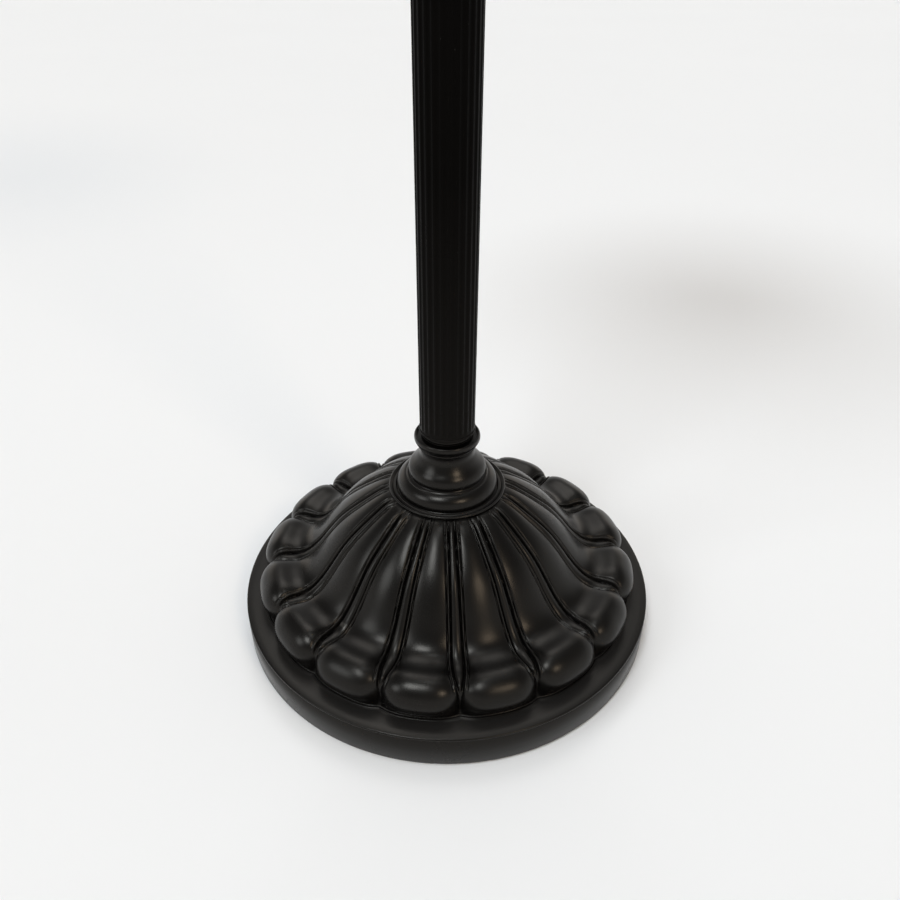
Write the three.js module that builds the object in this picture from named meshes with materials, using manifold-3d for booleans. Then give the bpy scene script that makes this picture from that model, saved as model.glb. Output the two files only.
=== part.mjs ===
// A floor lamp: a cast foot in sixteen petals, a turned collar, a fluted pole in three tubes, a cluster of
// two pull-chain sockets, and a leaded glass shade that sits on a spider and is held down by a finial.
// Millimetres, +Z up, the origin on the floor under the pole.
import * as THREE from "three";
import { mergeVertices } from "three/addons/utils/BufferGeometryUtils.js";
import Module from "manifold-3d";

const wasm = await Module();
wasm.setup();

// How many sides a round piece has, by its size
const LARGE_SIDES = 28;
const MEDIUM_SIDES = 18;
const SMALL_SIDES = 12;
const SOCKET_SIDES = 16;
const CHAIN_SIDES = 4;

// General fits
const CLEARANCE = 0.3; // between neighbours that are faceted or turned
const THREAD_RADIUS = 4.9; // lamp pipe, outside
const THREAD_BORE = 3.2; // lamp pipe, inside, for the flex
const PIPE_HOLE = THREAD_RADIUS + CLEARANCE; // what the pipe passes through

// Foot casting
const FOOT_RADIUS = 147.5;
const PAD_HEIGHT = 1.5;
const PAD_INSET = 2;
const RIM_HEIGHT = 25.5; // the ledge's outer edge, above the floor
const RIM_ROUND = 1; // the ledge's rounded edge
const LEDGE_WIDTH = 10.5; // from the petal tips to the rim
const LEDGE_CROWN = 0.5; // how far the ledge rises from its outer edge to the petals
const DOME_HEIGHT = 107.3; // the seat of the collar, above the floor
const DOME_SEAT_RADIUS = 37;
const PETAL_COUNT = 16;
const RIB_HALF_WIDTH = 3.5; // the narrow rib between two petals, at its widest
const GROOVE_WIDTH = 1.3; // from a rib's edge to the bottom of its groove
const GROOVE_DEPTH = 2.1;
const PETAL_EDGE = 1.9; // from the groove's bottom to the petal's edge
const CAVITY_INSET = 11.5; // the rim's wall, under the casting
const CAVITY_STEP = 18; // the ledge inside that the weight is drawn up against
const SHELL_WALL = 11.25; // from the ribs down to the hollow under them

// What is under the casting
const WEIGHT_INSET = 4;
const WEIGHT_THICKNESS = 8;
const WASHER_RADIUS = 18;
const WASHER_THICKNESS = 1.6;
const NUT_FLATS = 16;
const NUT_HEIGHT = 5;
const BUSHING_HEIGHT = 11; // of the flex's bushing, above the floor
const BUSHING_RADIUS = 4.4;
const BUSHING_BORE = 3;
const BUSHING_FLANGE = 6.6;
const BUSHING_PROUD = 1.4;

// Collar on the casting, as radius and height above its seat
const COLLAR_HEIGHT = 44.8; // the lip's top
const COLLAR_RECESS = 1.9; // from the lip's top to the floor that the pole stands on
const COLLAR_PLATE = 40.2;
const COLLAR_BULGE = 34.5;
const COLLAR_VASE = 26.3;
const COLLAR_LIP = 22.2;
const COLLAR_LIP_WALL = 1.9;

// Pole
const POLE_RADIUS = 18.3;
const POLE_FLUTES = 26;
const FLUTE_DEPTH = 0.6;
const POLE_WALL = 1.6; // under the flutes
const TUBE_LENGTHS = [368, 368, 278]; // lower, middle, upper
const PLUG_FLANGE = 2;
const PLUG_PROUD = 0.5;
const PLUG_SPIGOT = 20;
const PIPE_SHORT = 2; // a pipe stops this much before the plug's end
const JOINT_RING_HEIGHT = 15;
const JOINT_RING_RADIUS = 22;
const NECK_RADIUS = COLLAR_LIP - 3.5; // the collar's waist

// Above the pole
const CAP_HEIGHT = 38;
const CAP_RADIUS = 21;
const STEM_HEIGHT = 18;
const STEM_RADIUS = 7.6;
const HUB_RADIUS = 22;
const HUB_HEIGHT = 32;
const HUB_WALL = 2.6;
const LID_HEIGHT = 7;
const SLEEVE_LENGTH = 132;
const SLEEVE_RADIUS = 6.6;

// Sockets and lamps, along each socket's own axis from the hub's centre
const SOCKET_TILT = 15; // degrees above the horizon
const ARM_START = 17.2;
const ARM_END = 37;
const SOCKET_CAP_START = 29;
const SOCKET_CAP_LENGTH = 19;
const SOCKET_RADIUS = 17.8;
const SOCKET_WALL = 1;
const SHELL_LENGTH = 46;
const SHELL_OVERLAP = 5; // how far the shell goes into its cap
const CORE_LENGTH = 40;
const BULB_CAP_RADIUS = 13;
const BULB_CAP_LENGTH = 23;
const BULB_CAP_PROUD = 1; // out of the core
const BULB_RADIUS = 29;
const BULB_LENGTH = 68;
const BULB_WALL = 1.4;

// Pull chains
const CHAIN_REACH = 56; // from the pole's axis
const CHAIN_TRAVEL = 8;
const CHAIN_BEADS = 20;
const BEAD_PITCH = 4.8;
const BEAD_RADIUS = 1.6;
const BEAD_WAIST = 0.7;
const GUIDE_RADIUS = 3.3;
const GUIDE_WALL = 1;
const GUIDE_DROP = 14; // the guide's mouth, under the hub's centre
const KNOB_LENGTH = 17;
const KNOB_RADIUS = 5.2;

// Shade: each seam's radius, and its drop under the crown ring
const SHADE_GORES = 16;
const SHADE_SEAMS = [
  [44, 0.3],
  [116, 24],
  [166, 56],
  [203, 96],
  [224, 140],
  [229, 174],
  [222, 212],
];
const GLASS_THICKNESS = 3;
const SEAM_GAP = 1; // between two rows of glass
const CAME_WIDTH = 5;
const CAME_THICKNESS = 1.6;
const CAME_LIFT = 1.1; // off the glass
const CROWN_INNER = 28;
const CROWN_OUTER = 47;
const CROWN_THICKNESS = 3;
const SPIDER_RADIUS = 38;
const SPIDER_THICKNESS = 3;
const SPIDER_RING = 6;
const SPIDER_HUB = 10;
const SPIDER_ARM = 6;
const VENT_CAP_RADIUS = 46;
const VENT_CAP_HEIGHT = 17;
const VENT_CAP_WALL = 1.4;
const FINIAL_HEIGHT = 42;
const FINIAL_RADIUS = 11;
const FINIAL_THREAD = 16; // how deep the pipe goes into the finial

// Places that follow from the sizes
const DOME_SEAT = DOME_HEIGHT;
const COLLAR_TOP = DOME_SEAT + COLLAR_HEIGHT;
const POLE_SEAT = COLLAR_TOP - COLLAR_RECESS;
const plugReach = PLUG_FLANGE + PLUG_SPIGOT - PIPE_SHORT; // how far a pipe goes into a plug

const finish = {
  bronze: new THREE.MeshStandardMaterial({ color: 0x1c1a18, roughness: 0.38, metalness: 0.25 }),
  iron: new THREE.MeshStandardMaterial({ color: 0x3a3835, roughness: 0.75, metalness: 0.6 }),
  steel: new THREE.MeshStandardMaterial({ color: 0x8d8f92, roughness: 0.4, metalness: 0.9 }),
  brass: new THREE.MeshStandardMaterial({ color: 0xa8833f, roughness: 0.35, metalness: 0.9 }),
  felt: new THREE.MeshStandardMaterial({ color: 0x14130f, roughness: 0.95, metalness: 0 }),
  rubber: new THREE.MeshStandardMaterial({ color: 0x0e0e0e, roughness: 0.7, metalness: 0 }),
  insulator: new THREE.MeshStandardMaterial({ color: 0x141312, roughness: 0.5, metalness: 0 }),
  lamp: new THREE.MeshStandardMaterial({ color: 0xf4efe2, roughness: 0.35, metalness: 0 }),
  lead: new THREE.MeshStandardMaterial({ color: 0x2b2925, roughness: 0.5, metalness: 0.7 }),
  amber: new THREE.MeshStandardMaterial({ color: 0xd9a24e, roughness: 0.25, metalness: 0 }),
  cream: new THREE.MeshStandardMaterial({ color: 0xe9d6a6, roughness: 0.25, metalness: 0 }),
  green: new THREE.MeshStandardMaterial({ color: 0x3f6b45, roughness: 0.25, metalness: 0 }),
  ruby: new THREE.MeshStandardMaterial({ color: 0x8c2a22, roughness: 0.25, metalness: 0 }),
};

const lamp = new THREE.Group();

function add(name, geometry, material, parent = lamp) {
  const mesh = new THREE.Mesh(geometry, material);
  mesh.name = name;
  parent.add(mesh);
  return mesh;
}

// A body of revolution about +Z from an outline of [radius, height], anticlockwise as seen from +Y to -Y.
function turned(outline, sides) {
  const points = outline.map(([radius, height]) => new THREE.Vector2(radius, height));
  return new THREE.LatheGeometry(points, sides).rotateX(Math.PI / 2);
}

// A round bar about Y.
function cylinder(radius, length, sides) {
  return new THREE.CylinderGeometry(radius, radius, length, sides);
}

// A ring with a square section: bore, outside, bottom and top.
function ringOutline(bore, outside, bottom, top) {
  return [
    [bore, bottom],
    [outside, bottom],
    [outside, top],
    [bore, top],
    [bore, bottom],
  ];
}

// A flat piece standing on its outline, with a round hole through its middle.
function plate(outline, hole, depth, holeSides) {
  const shape = new THREE.Shape(outline);
  shape.holes.push(new THREE.Path().absarc(0, 0, hole, 0, 2 * Math.PI, true));
  const settings = { depth, bevelEnabled: false, curveSegments: holeSides / 2 };
  return new THREE.ExtrudeGeometry(shape, settings);
}

// Points of a round stretch of an outline, from one angle to another in degrees.
function arc(centreRadius, centreHeight, radius, from, to, steps) {
  return Array.from({ length: steps + 1 }, (_, i) => {
    const angle = THREE.MathUtils.degToRad(from + ((to - from) * i) / steps);
    return [centreRadius + radius * Math.cos(angle), centreHeight + radius * Math.sin(angle)];
  });
}

function solidOf(geometry) {
  const bare = geometry.clone();
  bare.deleteAttribute("normal");
  bare.deleteAttribute("uv");
  const merged = mergeVertices(bare, 1e-3);
  return new wasm.Manifold(
    new wasm.Mesh({
      numProp: 3,
      vertProperties: merged.attributes.position.array,
      triVerts: new Uint32Array(merged.index.array),
    }),
  );
}

function geometryOf(solid) {
  const mesh = solid.getMesh();
  const geometry = new THREE.BufferGeometry();
  geometry.setAttribute("position", new THREE.BufferAttribute(mesh.vertProperties, 3));
  geometry.setIndex(new THREE.BufferAttribute(mesh.triVerts, 1));
  geometry.computeVertexNormals();
  return geometry;
}

function cut(geometry, ...tools) {
  return geometryOf(tools.reduce((left, tool) => left.subtract(solidOf(tool)), solidOf(geometry)));
}

// Foot casting: a petal runs from the collar's seat, over the dome and the rolled tip, down to the ledge.
// Both lines are [share of the way out, share of the way up]: the petal's middle and the rib beside it.
const PETAL_LINE = [
  [0, 1],
  [0.075, 0.974],
  [0.17, 0.908],
  [0.28, 0.807],
  [0.39, 0.686],
  [0.495, 0.535],
  [0.585, 0.394],
  [0.67, 0.31],
  [0.76, 0.3],
  [0.85, 0.32],
  [0.925, 0.29],
  [0.978, 0.219],
  [1, 0.135],
  [0.986, 0.055],
  [0.976, 0.011],
];
const RIB_LINE = [
  [0, 1],
  [0.075, 0.959],
  [0.17, 0.878],
  [0.28, 0.777],
  [0.39, 0.656],
  [0.495, 0.492],
  [0.59, 0.351],
  [0.68, 0.266],
  [0.76, 0.246],
  [0.835, 0.251],
  [0.885, 0.221],
  [0.906, 0.16],
  [0.912, 0.098],
  [0.916, 0.047],
  [0.926, 0.011],
];
const LAST_STATION = PETAL_LINE.length - 1;
const TIP_STATION = 10; // from here on the rib has run out into the notch between two tips
const FLANK_STATION = 7; // up to here the petal is on the dome's flank
const RIB_GROWN_STATION = 4;
const RIB_FADES_STATION = 6;
const GROOVE_STARTS_STATION = 0.3;
const GROOVE_FULL_STATION = 2;
const GROOVE_FADES_STATION = 8;
const FLANK_FULLNESS = 2.2; // how square the petal's section is on the flank, as a power
const TIP_FULLNESS = 5.5; // and at the rolled tip
// The casting has a ring of points at each of these stations
const PETAL_STATIONS = [0.4, 1, 2.5, 4, 5.5, FLANK_STATION, 8.5, TIP_STATION, 11, 12, LAST_STATION];
const ledgeHeight = RIM_HEIGHT + LEDGE_CROWN;

function lineOf(shares) {
  const reach = FOOT_RADIUS - LEDGE_WIDTH - DOME_SEAT_RADIUS;
  const rise = DOME_SEAT - ledgeHeight;
  return new THREE.SplineCurve(
    shares.map(
      ([out, up]) => new THREE.Vector2(DOME_SEAT_RADIUS + reach * out, ledgeHeight + rise * up),
    ),
  );
}
const petalLine = lineOf(PETAL_LINE);
const ribLine = lineOf(RIB_LINE);
const halfPetal = Math.PI / PETAL_COUNT;

function lineAt(line, station) {
  return line.getPoint(station / LAST_STATION);
}

function ribHalfWidth(station) {
  const grown = THREE.MathUtils.smoothstep(station, 0, RIB_GROWN_STATION);
  const faded = THREE.MathUtils.smoothstep(station, RIB_FADES_STATION, TIP_STATION);
  return THREE.MathUtils.lerp(RIB_HALF_WIDTH / 2, RIB_HALF_WIDTH, grown) * (1 - faded);
}

function grooveDepth(station) {
  const grown = THREE.MathUtils.smoothstep(station, GROOVE_STARTS_STATION, GROOVE_FULL_STATION);
  const faded = THREE.MathUtils.smoothstep(station, GROOVE_FADES_STATION, TIP_STATION + 1);
  return GROOVE_DEPTH * grown * (1 - faded);
}

// A point of the casting at a station along the petals, `arcFromRib` millimetres from the nearest rib's
// middle and pushed down by `sink`.
function petalPoint(station, arcFromRib, side, ribAngle, sink) {
  const middle = lineAt(petalLine, station);
  const rib = lineAt(ribLine, station);
  const halfArc = rib.x * halfPetal;
  const fromMiddle = THREE.MathUtils.clamp(1 - arcFromRib / halfArc, 0, 1);
  const tip = THREE.MathUtils.smoothstep(station, FLANK_STATION - 1, FLANK_STATION + 2);
  const share = Math.pow(fromMiddle, THREE.MathUtils.lerp(FLANK_FULLNESS, TIP_FULLNESS, tip));
  const radius = THREE.MathUtils.lerp(middle.x, rib.x, share);
  const height = THREE.MathUtils.lerp(middle.y, rib.y, share) - sink;
  const angle = ribAngle + side * halfPetal * Math.min(1, arcFromRib / halfArc);
  return [radius * Math.sin(angle), -radius * Math.cos(angle), height];
}

// One ring of the casting's points: eight for each petal, from one rib to the next. The groove and the edge
// keep at least their share of half a petal.
const LEAST_GROOVE_SHARE = 0.08;
const LEAST_EDGE_SHARE = 0.22;
function petalRing(station) {
  const ring = [];
  const half = ribHalfWidth(station);
  const grooveAt = half + GROOVE_WIDTH * (half / RIB_HALF_WIDTH);
  const halfArc = lineAt(ribLine, station).x * halfPetal;
  const edgeAt = grooveAt + PETAL_EDGE;
  const columns = [
    [0, 0],
    [Math.max(grooveAt, halfArc * LEAST_GROOVE_SHARE), grooveDepth(station)],
    [Math.max(edgeAt, halfArc * LEAST_EDGE_SHARE), 0],
    [(edgeAt + halfArc) / 2, 0],
    [halfArc, 0],
  ];
  for (let petal = 0; petal < PETAL_COUNT; petal++) {
    const ribAngle = 2 * halfPetal * petal;
    for (const [at, sink] of columns) ring.push(petalPoint(station, at, 1, ribAngle, sink));
    const back = columns.slice(1, -1).reverse();
    for (const [at, sink] of back) ring.push(petalPoint(station, at, -1, ribAngle + 2 * halfPetal, sink));
  }
  return ring;
}

function roundRing(radius, height, count) {
  return Array.from({ length: count }, (_, i) => {
    const angle = (2 * Math.PI * i) / count;
    return [radius * Math.sin(angle), -radius * Math.cos(angle), height];
  });
}

// A closed body through rings of equally many points, from the top down, with a fan at each end.
function lofted(rings) {
  const count = rings[0].length;
  const positions = rings.flat(2);
  const index = [];
  for (let ring = 0; ring + 1 < rings.length; ring++) {
    for (let i = 0; i < count; i++) {
      const a = ring * count + i;
      const b = ring * count + ((i + 1) % count);
      index.push(a, a + count, b, b, a + count, b + count);
    }
  }
  const ends = [rings[0], rings[rings.length - 1]];
  ends.forEach((ring, end) => {
    const centre = positions.length / 3;
    positions.push(0, 0, ring[0][2]);
    const first = end === 0 ? 0 : (rings.length - 1) * count;
    for (let i = 0; i < count; i++) {
      const a = first + i;
      const b = first + ((i + 1) % count);
      if (end === 0) index.push(centre, a, b);
      else index.push(centre, b, a);
    }
  });
  const geometry = new THREE.BufferGeometry();
  geometry.setAttribute("position", new THREE.Float32BufferAttribute(positions, 3));
  geometry.setIndex(index);
  geometry.computeVertexNormals();
  return geometry;
}

// The hollow under the casting follows the ribs, from the tips up to the collar's seat.
const CAVITY_STATIONS = [7.6, 6.2, 4, 1.2];

function footCasting() {
  const petalRings = PETAL_STATIONS.map(petalRing);
  const count = petalRings[0].length;
  const rings = [
    roundRing(DOME_SEAT_RADIUS, DOME_SEAT, count),
    ...petalRings,
    roundRing(FOOT_RADIUS - 3 * RIM_ROUND, ledgeHeight, count),
    roundRing(FOOT_RADIUS, RIM_HEIGHT - RIM_ROUND, count),
    roundRing(FOOT_RADIUS, PAD_HEIGHT, count),
  ];
  const mouth = FOOT_RADIUS - CAVITY_INSET;
  const underRib = (station) => {
    const rib = lineAt(ribLine, station);
    return [rib.x, rib.y - SHELL_WALL];
  };
  const cavity = turned(
    [
      [0, 0],
      [mouth, 0],
      [mouth, CAVITY_STEP],
      [lineAt(ribLine, LAST_STATION).x - SHELL_WALL, CAVITY_STEP],
      ...CAVITY_STATIONS.map(underRib),
      [0, DOME_SEAT - SHELL_WALL],
    ],
    LARGE_SIDES,
  );
  const pipeHole = cylinder(PIPE_HOLE, 2 * DOME_SEAT, SMALL_SIDES).rotateX(Math.PI / 2);
  const flexHole = cylinder(BUSHING_RADIUS + CLEARANCE, 4 * CAVITY_INSET, SMALL_SIDES);
  flexHole.translate(0, FOOT_RADIUS, BUSHING_HEIGHT);
  return cut(lofted(rings), cavity, pipeHole, flexHole);
}
add("petal_base", footCasting(), finish.bronze);

// Under the casting
const padRadius = FOOT_RADIUS - PAD_INSET;
add(
  "felt_pad",
  turned([[0, 0], [padRadius, 0], [padRadius, PAD_HEIGHT], [0, PAD_HEIGHT]], LARGE_SIDES),
  finish.felt,
);

const weightBottom = CAVITY_STEP - WEIGHT_THICKNESS;
const weightRadius = FOOT_RADIUS - CAVITY_INSET - WEIGHT_INSET;
const weight = turned(ringOutline(PIPE_HOLE, weightRadius, weightBottom, CAVITY_STEP), LARGE_SIDES);
add("base_weight", weight, finish.iron);

const washerBottom = weightBottom - WASHER_THICKNESS;
const washer = turned(ringOutline(PIPE_HOLE, WASHER_RADIUS, washerBottom, weightBottom), MEDIUM_SIDES);
add("base_washer", washer, finish.steel);

function hexNut() {
  const corner = NUT_FLATS / 2 / Math.cos(Math.PI / 6);
  const corners = Array.from({ length: 6 }, (_, i) => {
    const angle = (i * Math.PI) / 3;
    return new THREE.Vector2(corner * Math.cos(angle), corner * Math.sin(angle));
  });
  return plate(corners, PIPE_HOLE, NUT_HEIGHT, SMALL_SIDES).translate(0, 0, washerBottom - NUT_HEIGHT);
}
add("base_nut", hexNut(), finish.steel);

function pipe(name, bottom, top) {
  add(name, turned(ringOutline(THREAD_BORE, THREAD_RADIUS, bottom, top), SMALL_SIDES), finish.steel);
}
pipe("base_pipe", PAD_HEIGHT + CLEARANCE, POLE_SEAT + plugReach);

// The flex's bushing, in the back of the rim
const bushingDepth = CAVITY_INSET + 1;
const bushing = turned(
  [
    [BUSHING_BORE, -bushingDepth],
    [BUSHING_RADIUS, -bushingDepth],
    [BUSHING_RADIUS, CLEARANCE],
    [BUSHING_FLANGE, CLEARANCE],
    [BUSHING_FLANGE - 0.8, BUSHING_PROUD],
    [BUSHING_BORE, BUSHING_PROUD],
    [BUSHING_BORE, -bushingDepth],
  ],
  SMALL_SIDES,
).rotateX(-Math.PI / 2);
add("cord_bushing", bushing, finish.rubber).position.set(0, FOOT_RADIUS, BUSHING_HEIGHT);

// Collar: a plate, a bulge, a vase, a waist and a lip that the pole stands in
const collarOutline = [
  [PIPE_HOLE, 0],
  [COLLAR_PLATE - 1, 0],
  [COLLAR_PLATE, 0.9],
  [COLLAR_PLATE - 0.5, 2],
  [COLLAR_PLATE - 2.8, 1.4],
  [COLLAR_BULGE + 1.4, 1.6],
  [COLLAR_BULGE, 1.3],
  ...arc(COLLAR_BULGE - 5.4, 5.1, 5.4, -12, 62, 4),
  [COLLAR_BULGE - 6.1, 11.6],
  [COLLAR_VASE + 0.9, 12.2],
  [COLLAR_VASE - 0.2, 12.8],
  [COLLAR_VASE, 14.4],
  [COLLAR_VASE - 0.7, 17],
  [COLLAR_VASE - 2.2, 19.9],
  [COLLAR_VASE - 4.2, 22.6],
  [COLLAR_VASE - 6.3, 25.6],
  [NECK_RADIUS, 30],
  [NECK_RADIUS, COLLAR_HEIGHT - 9],
  [COLLAR_LIP - 2.4, COLLAR_HEIGHT - 7.2],
  [COLLAR_LIP - 0.9, COLLAR_HEIGHT - 5.6],
  [COLLAR_LIP, COLLAR_HEIGHT - 3.2],
  [COLLAR_LIP, COLLAR_HEIGHT - 1.4],
  [COLLAR_LIP - 0.5, COLLAR_HEIGHT],
  [COLLAR_LIP - COLLAR_LIP_WALL + 0.4, COLLAR_HEIGHT],
  [COLLAR_LIP - COLLAR_LIP_WALL - 0.4, COLLAR_HEIGHT - COLLAR_RECESS],
  [PIPE_HOLE, COLLAR_HEIGHT - COLLAR_RECESS],
  [PIPE_HOLE, 0],
].map(([radius, height]) => [radius, height + DOME_SEAT]);
add("neck_collar", turned(collarOutline, LARGE_SIDES), finish.bronze);

// Pole: three fluted tubes, each with a plug at its foot and at its head, and a ring between two tubes
const tubeBore = POLE_RADIUS - FLUTE_DEPTH - POLE_WALL;

// The outline goes up to a ridge and down into a flute by turns.
function flutedTube(length) {
  const outline = Array.from({ length: 2 * POLE_FLUTES }, (_, i) => {
    const radius = i % 2 ? POLE_RADIUS - FLUTE_DEPTH : POLE_RADIUS;
    const angle = (i * Math.PI) / POLE_FLUTES;
    return new THREE.Vector2(radius * Math.cos(angle), radius * Math.sin(angle));
  });
  return plate(outline, tubeBore, length, POLE_FLUTES);
}

// A plug with its flange outside the tube and its spigot inside; `up` is 1 where the spigot points up.
function plug(name, flangeAt, up) {
  const flange = [
    [PIPE_HOLE, 0],
    [POLE_RADIUS + PLUG_PROUD, 0],
    [POLE_RADIUS + PLUG_PROUD, 0.7 * PLUG_FLANGE],
    [POLE_RADIUS, PLUG_FLANGE],
    [tubeBore - CLEARANCE, PLUG_FLANGE],
    [tubeBore - CLEARANCE, PLUG_FLANGE + PLUG_SPIGOT],
    [PIPE_HOLE, PLUG_FLANGE + PLUG_SPIGOT],
    [PIPE_HOLE, 0],
  ];
  const outline = flange.map(([radius, height]) => [radius, flangeAt + up * height]);
  add(name, turned(up > 0 ? outline : outline.reverse(), MEDIUM_SIDES), finish.bronze);
}

function jointRing(name, bottom) {
  const middle = bottom + JOINT_RING_HEIGHT / 2;
  const outline = [
    [PIPE_HOLE, bottom],
    [POLE_RADIUS + 0.8, bottom],
    [POLE_RADIUS + 1.4, bottom + 1.6],
    [POLE_RADIUS + 0.9, bottom + 3],
    ...arc(JOINT_RING_RADIUS - 3.4, middle, 3.4, -70, 70, 4),
    [POLE_RADIUS + 0.9, bottom + JOINT_RING_HEIGHT - 3],
    [POLE_RADIUS + 1.4, bottom + JOINT_RING_HEIGHT - 1.6],
    [POLE_RADIUS + 0.8, bottom + JOINT_RING_HEIGHT],
    [PIPE_HOLE, bottom + JOINT_RING_HEIGHT],
    [PIPE_HOLE, bottom],
  ];
  add(name, turned(outline, MEDIUM_SIDES), finish.bronze);
}

let height = POLE_SEAT;
["lower", "middle", "upper"].forEach((name, i) => {
  plug(`${name}_foot_plug`, height, 1);
  height += PLUG_FLANGE;
  add(`${name}_tube`, flutedTube(TUBE_LENGTHS[i]).translate(0, 0, height), finish.bronze);
  height += TUBE_LENGTHS[i] + PLUG_FLANGE;
  plug(`${name}_head_plug`, height, -1);
  if (i < 2) {
    jointRing(`joint_ring_${i + 1}`, height);
    pipe(`joint_pipe_${i + 1}`, height - plugReach, height + JOINT_RING_HEIGHT + plugReach);
    height += JOINT_RING_HEIGHT;
  }
});
const poleTop = height;

// Cap on the pole and the stem that carries the socket hub
const capOutline = [
  [PIPE_HOLE, 0],
  [POLE_RADIUS + 1, 0],
  ...arc(CAP_RADIUS - 2.6, 3, 2.6, -60, 60, 3),
  [POLE_RADIUS - 1.5, 6],
  [POLE_RADIUS - 0.5, 9],
  [POLE_RADIUS - 1.6, 14],
  [POLE_RADIUS - 5.5, 20],
  [STEM_RADIUS + 1.4, CAP_HEIGHT - 10],
  [STEM_RADIUS + 1, CAP_HEIGHT - 5],
  [STEM_RADIUS + 3, CAP_HEIGHT - 2.5],
  [STEM_RADIUS + 2.4, CAP_HEIGHT],
  [PIPE_HOLE, CAP_HEIGHT],
  [PIPE_HOLE, 0],
].map(([radius, up]) => [radius, up + poleTop]);
add("pole_cap", turned(capOutline, MEDIUM_SIDES), finish.bronze);

const stemBottom = poleTop + CAP_HEIGHT;
const hubBottom = stemBottom + STEM_HEIGHT;
const hubCentre = hubBottom + HUB_HEIGHT / 2;
const hubTop = hubBottom + HUB_HEIGHT;
const stem = turned(ringOutline(PIPE_HOLE, STEM_RADIUS, stemBottom, hubBottom), SMALL_SIDES);
add("hub_stem", stem, finish.bronze);

// Each socket's parts are placed in a group whose +Z is the socket's axis.
function socketGroup(side) {
  const group = new THREE.Group();
  group.position.set(0, 0, hubCentre);
  group.rotation.y = side * THREE.MathUtils.degToRad(90 - SOCKET_TILT);
  group.updateMatrixWorld(true);
  return group;
}
const socketGroups = { left: socketGroup(-1), right: socketGroup(1) };

function hub() {
  const cup = turned(
    [
      [PIPE_HOLE, hubBottom],
      [HUB_RADIUS - 4, hubBottom],
      [HUB_RADIUS, hubBottom + 4],
      [HUB_RADIUS, hubTop],
      [HUB_RADIUS - HUB_WALL, hubTop],
      [HUB_RADIUS - HUB_WALL, hubBottom + HUB_WALL],
      [PIPE_HOLE, hubBottom + HUB_WALL],
      [PIPE_HOLE, hubBottom],
    ],
    MEDIUM_SIDES,
  );
  const holes = Object.values(socketGroups).map((group) =>
    cylinder(PIPE_HOLE, HUB_RADIUS, SMALL_SIDES)
      .rotateX(Math.PI / 2)
      .translate(0, 0, HUB_RADIUS)
      .applyMatrix4(group.matrixWorld),
  );
  return cut(cup, ...holes);
}
add("socket_hub", hub(), finish.bronze);

const lidTop = hubTop + LID_HEIGHT;
add(
  "hub_lid",
  turned(
    [
      [PIPE_HOLE, hubTop],
      [HUB_RADIUS + 0.8, hubTop],
      [HUB_RADIUS + 0.8, hubTop + 1.6],
      [HUB_RADIUS - 6, hubTop + 4.4],
      [SLEEVE_RADIUS + 2, lidTop],
      [PIPE_HOLE, lidTop],
      [PIPE_HOLE, hubTop],
    ],
    MEDIUM_SIDES,
  ),
  finish.bronze,
);

const sleeveTop = lidTop + SLEEVE_LENGTH;
const sleeve = turned(ringOutline(PIPE_HOLE, SLEEVE_RADIUS, lidTop, sleeveTop), SMALL_SIDES);
add("riser_sleeve", sleeve, finish.bronze);

// Sockets, lamps and pull chains
const capEnd = SOCKET_CAP_START + SOCKET_CAP_LENGTH;
const shellStart = capEnd - SHELL_OVERLAP;
const coreStart = shellStart;
const bulbCapStart = coreStart + CORE_LENGTH - BULB_CAP_LENGTH + BULB_CAP_PROUD;
const glassStart = bulbCapStart + BULB_CAP_LENGTH + CLEARANCE;
const capBore = SOCKET_RADIUS - SOCKET_WALL;
const shellOutside = capBore - CLEARANCE;

function socketCap() {
  return turned(
    [
      [PIPE_HOLE, SOCKET_CAP_START],
      [PIPE_HOLE + 3, SOCKET_CAP_START],
      [SOCKET_RADIUS - 4, SOCKET_CAP_START + 4],
      [SOCKET_RADIUS, SOCKET_CAP_START + 10],
      [SOCKET_RADIUS, capEnd],
      [capBore, capEnd],
      [capBore, SOCKET_CAP_START + 11],
      [PIPE_HOLE, SOCKET_CAP_START + 5],
      [PIPE_HOLE, SOCKET_CAP_START],
    ],
    SOCKET_SIDES,
  );
}

function socketShell() {
  const bore = shellOutside - SOCKET_WALL;
  return turned(
    [
      [bore, shellStart],
      [shellOutside, shellStart],
      [shellOutside, shellStart + SHELL_LENGTH - 3],
      [shellOutside + 0.9, shellStart + SHELL_LENGTH - 1.5],
      [shellOutside, shellStart + SHELL_LENGTH],
      [bore, shellStart + SHELL_LENGTH],
      [bore, shellStart],
    ],
    SOCKET_SIDES,
  );
}

// The insulating core, a cup that the lamp's screw cap sits in
function socketCore() {
  const outside = shellOutside - SOCKET_WALL - CLEARANCE;
  const bore = BULB_CAP_RADIUS + CLEARANCE;
  return turned(
    [
      [0, coreStart],
      [outside, coreStart],
      [outside, coreStart + CORE_LENGTH],
      [bore, coreStart + CORE_LENGTH],
      [bore, bulbCapStart - CLEARANCE],
      [0, bulbCapStart - CLEARANCE],
    ],
    SOCKET_SIDES,
  );
}

function bulbCap() {
  return turned(
    [
      [0, bulbCapStart],
      [BULB_CAP_RADIUS - 5, bulbCapStart],
      [BULB_CAP_RADIUS - 0.6, bulbCapStart + 4],
      [BULB_CAP_RADIUS, bulbCapStart + 6],
      [BULB_CAP_RADIUS, bulbCapStart + BULB_CAP_LENGTH],
      [0, bulbCapStart + BULB_CAP_LENGTH],
    ],
    SOCKET_SIDES,
  );
}

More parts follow.
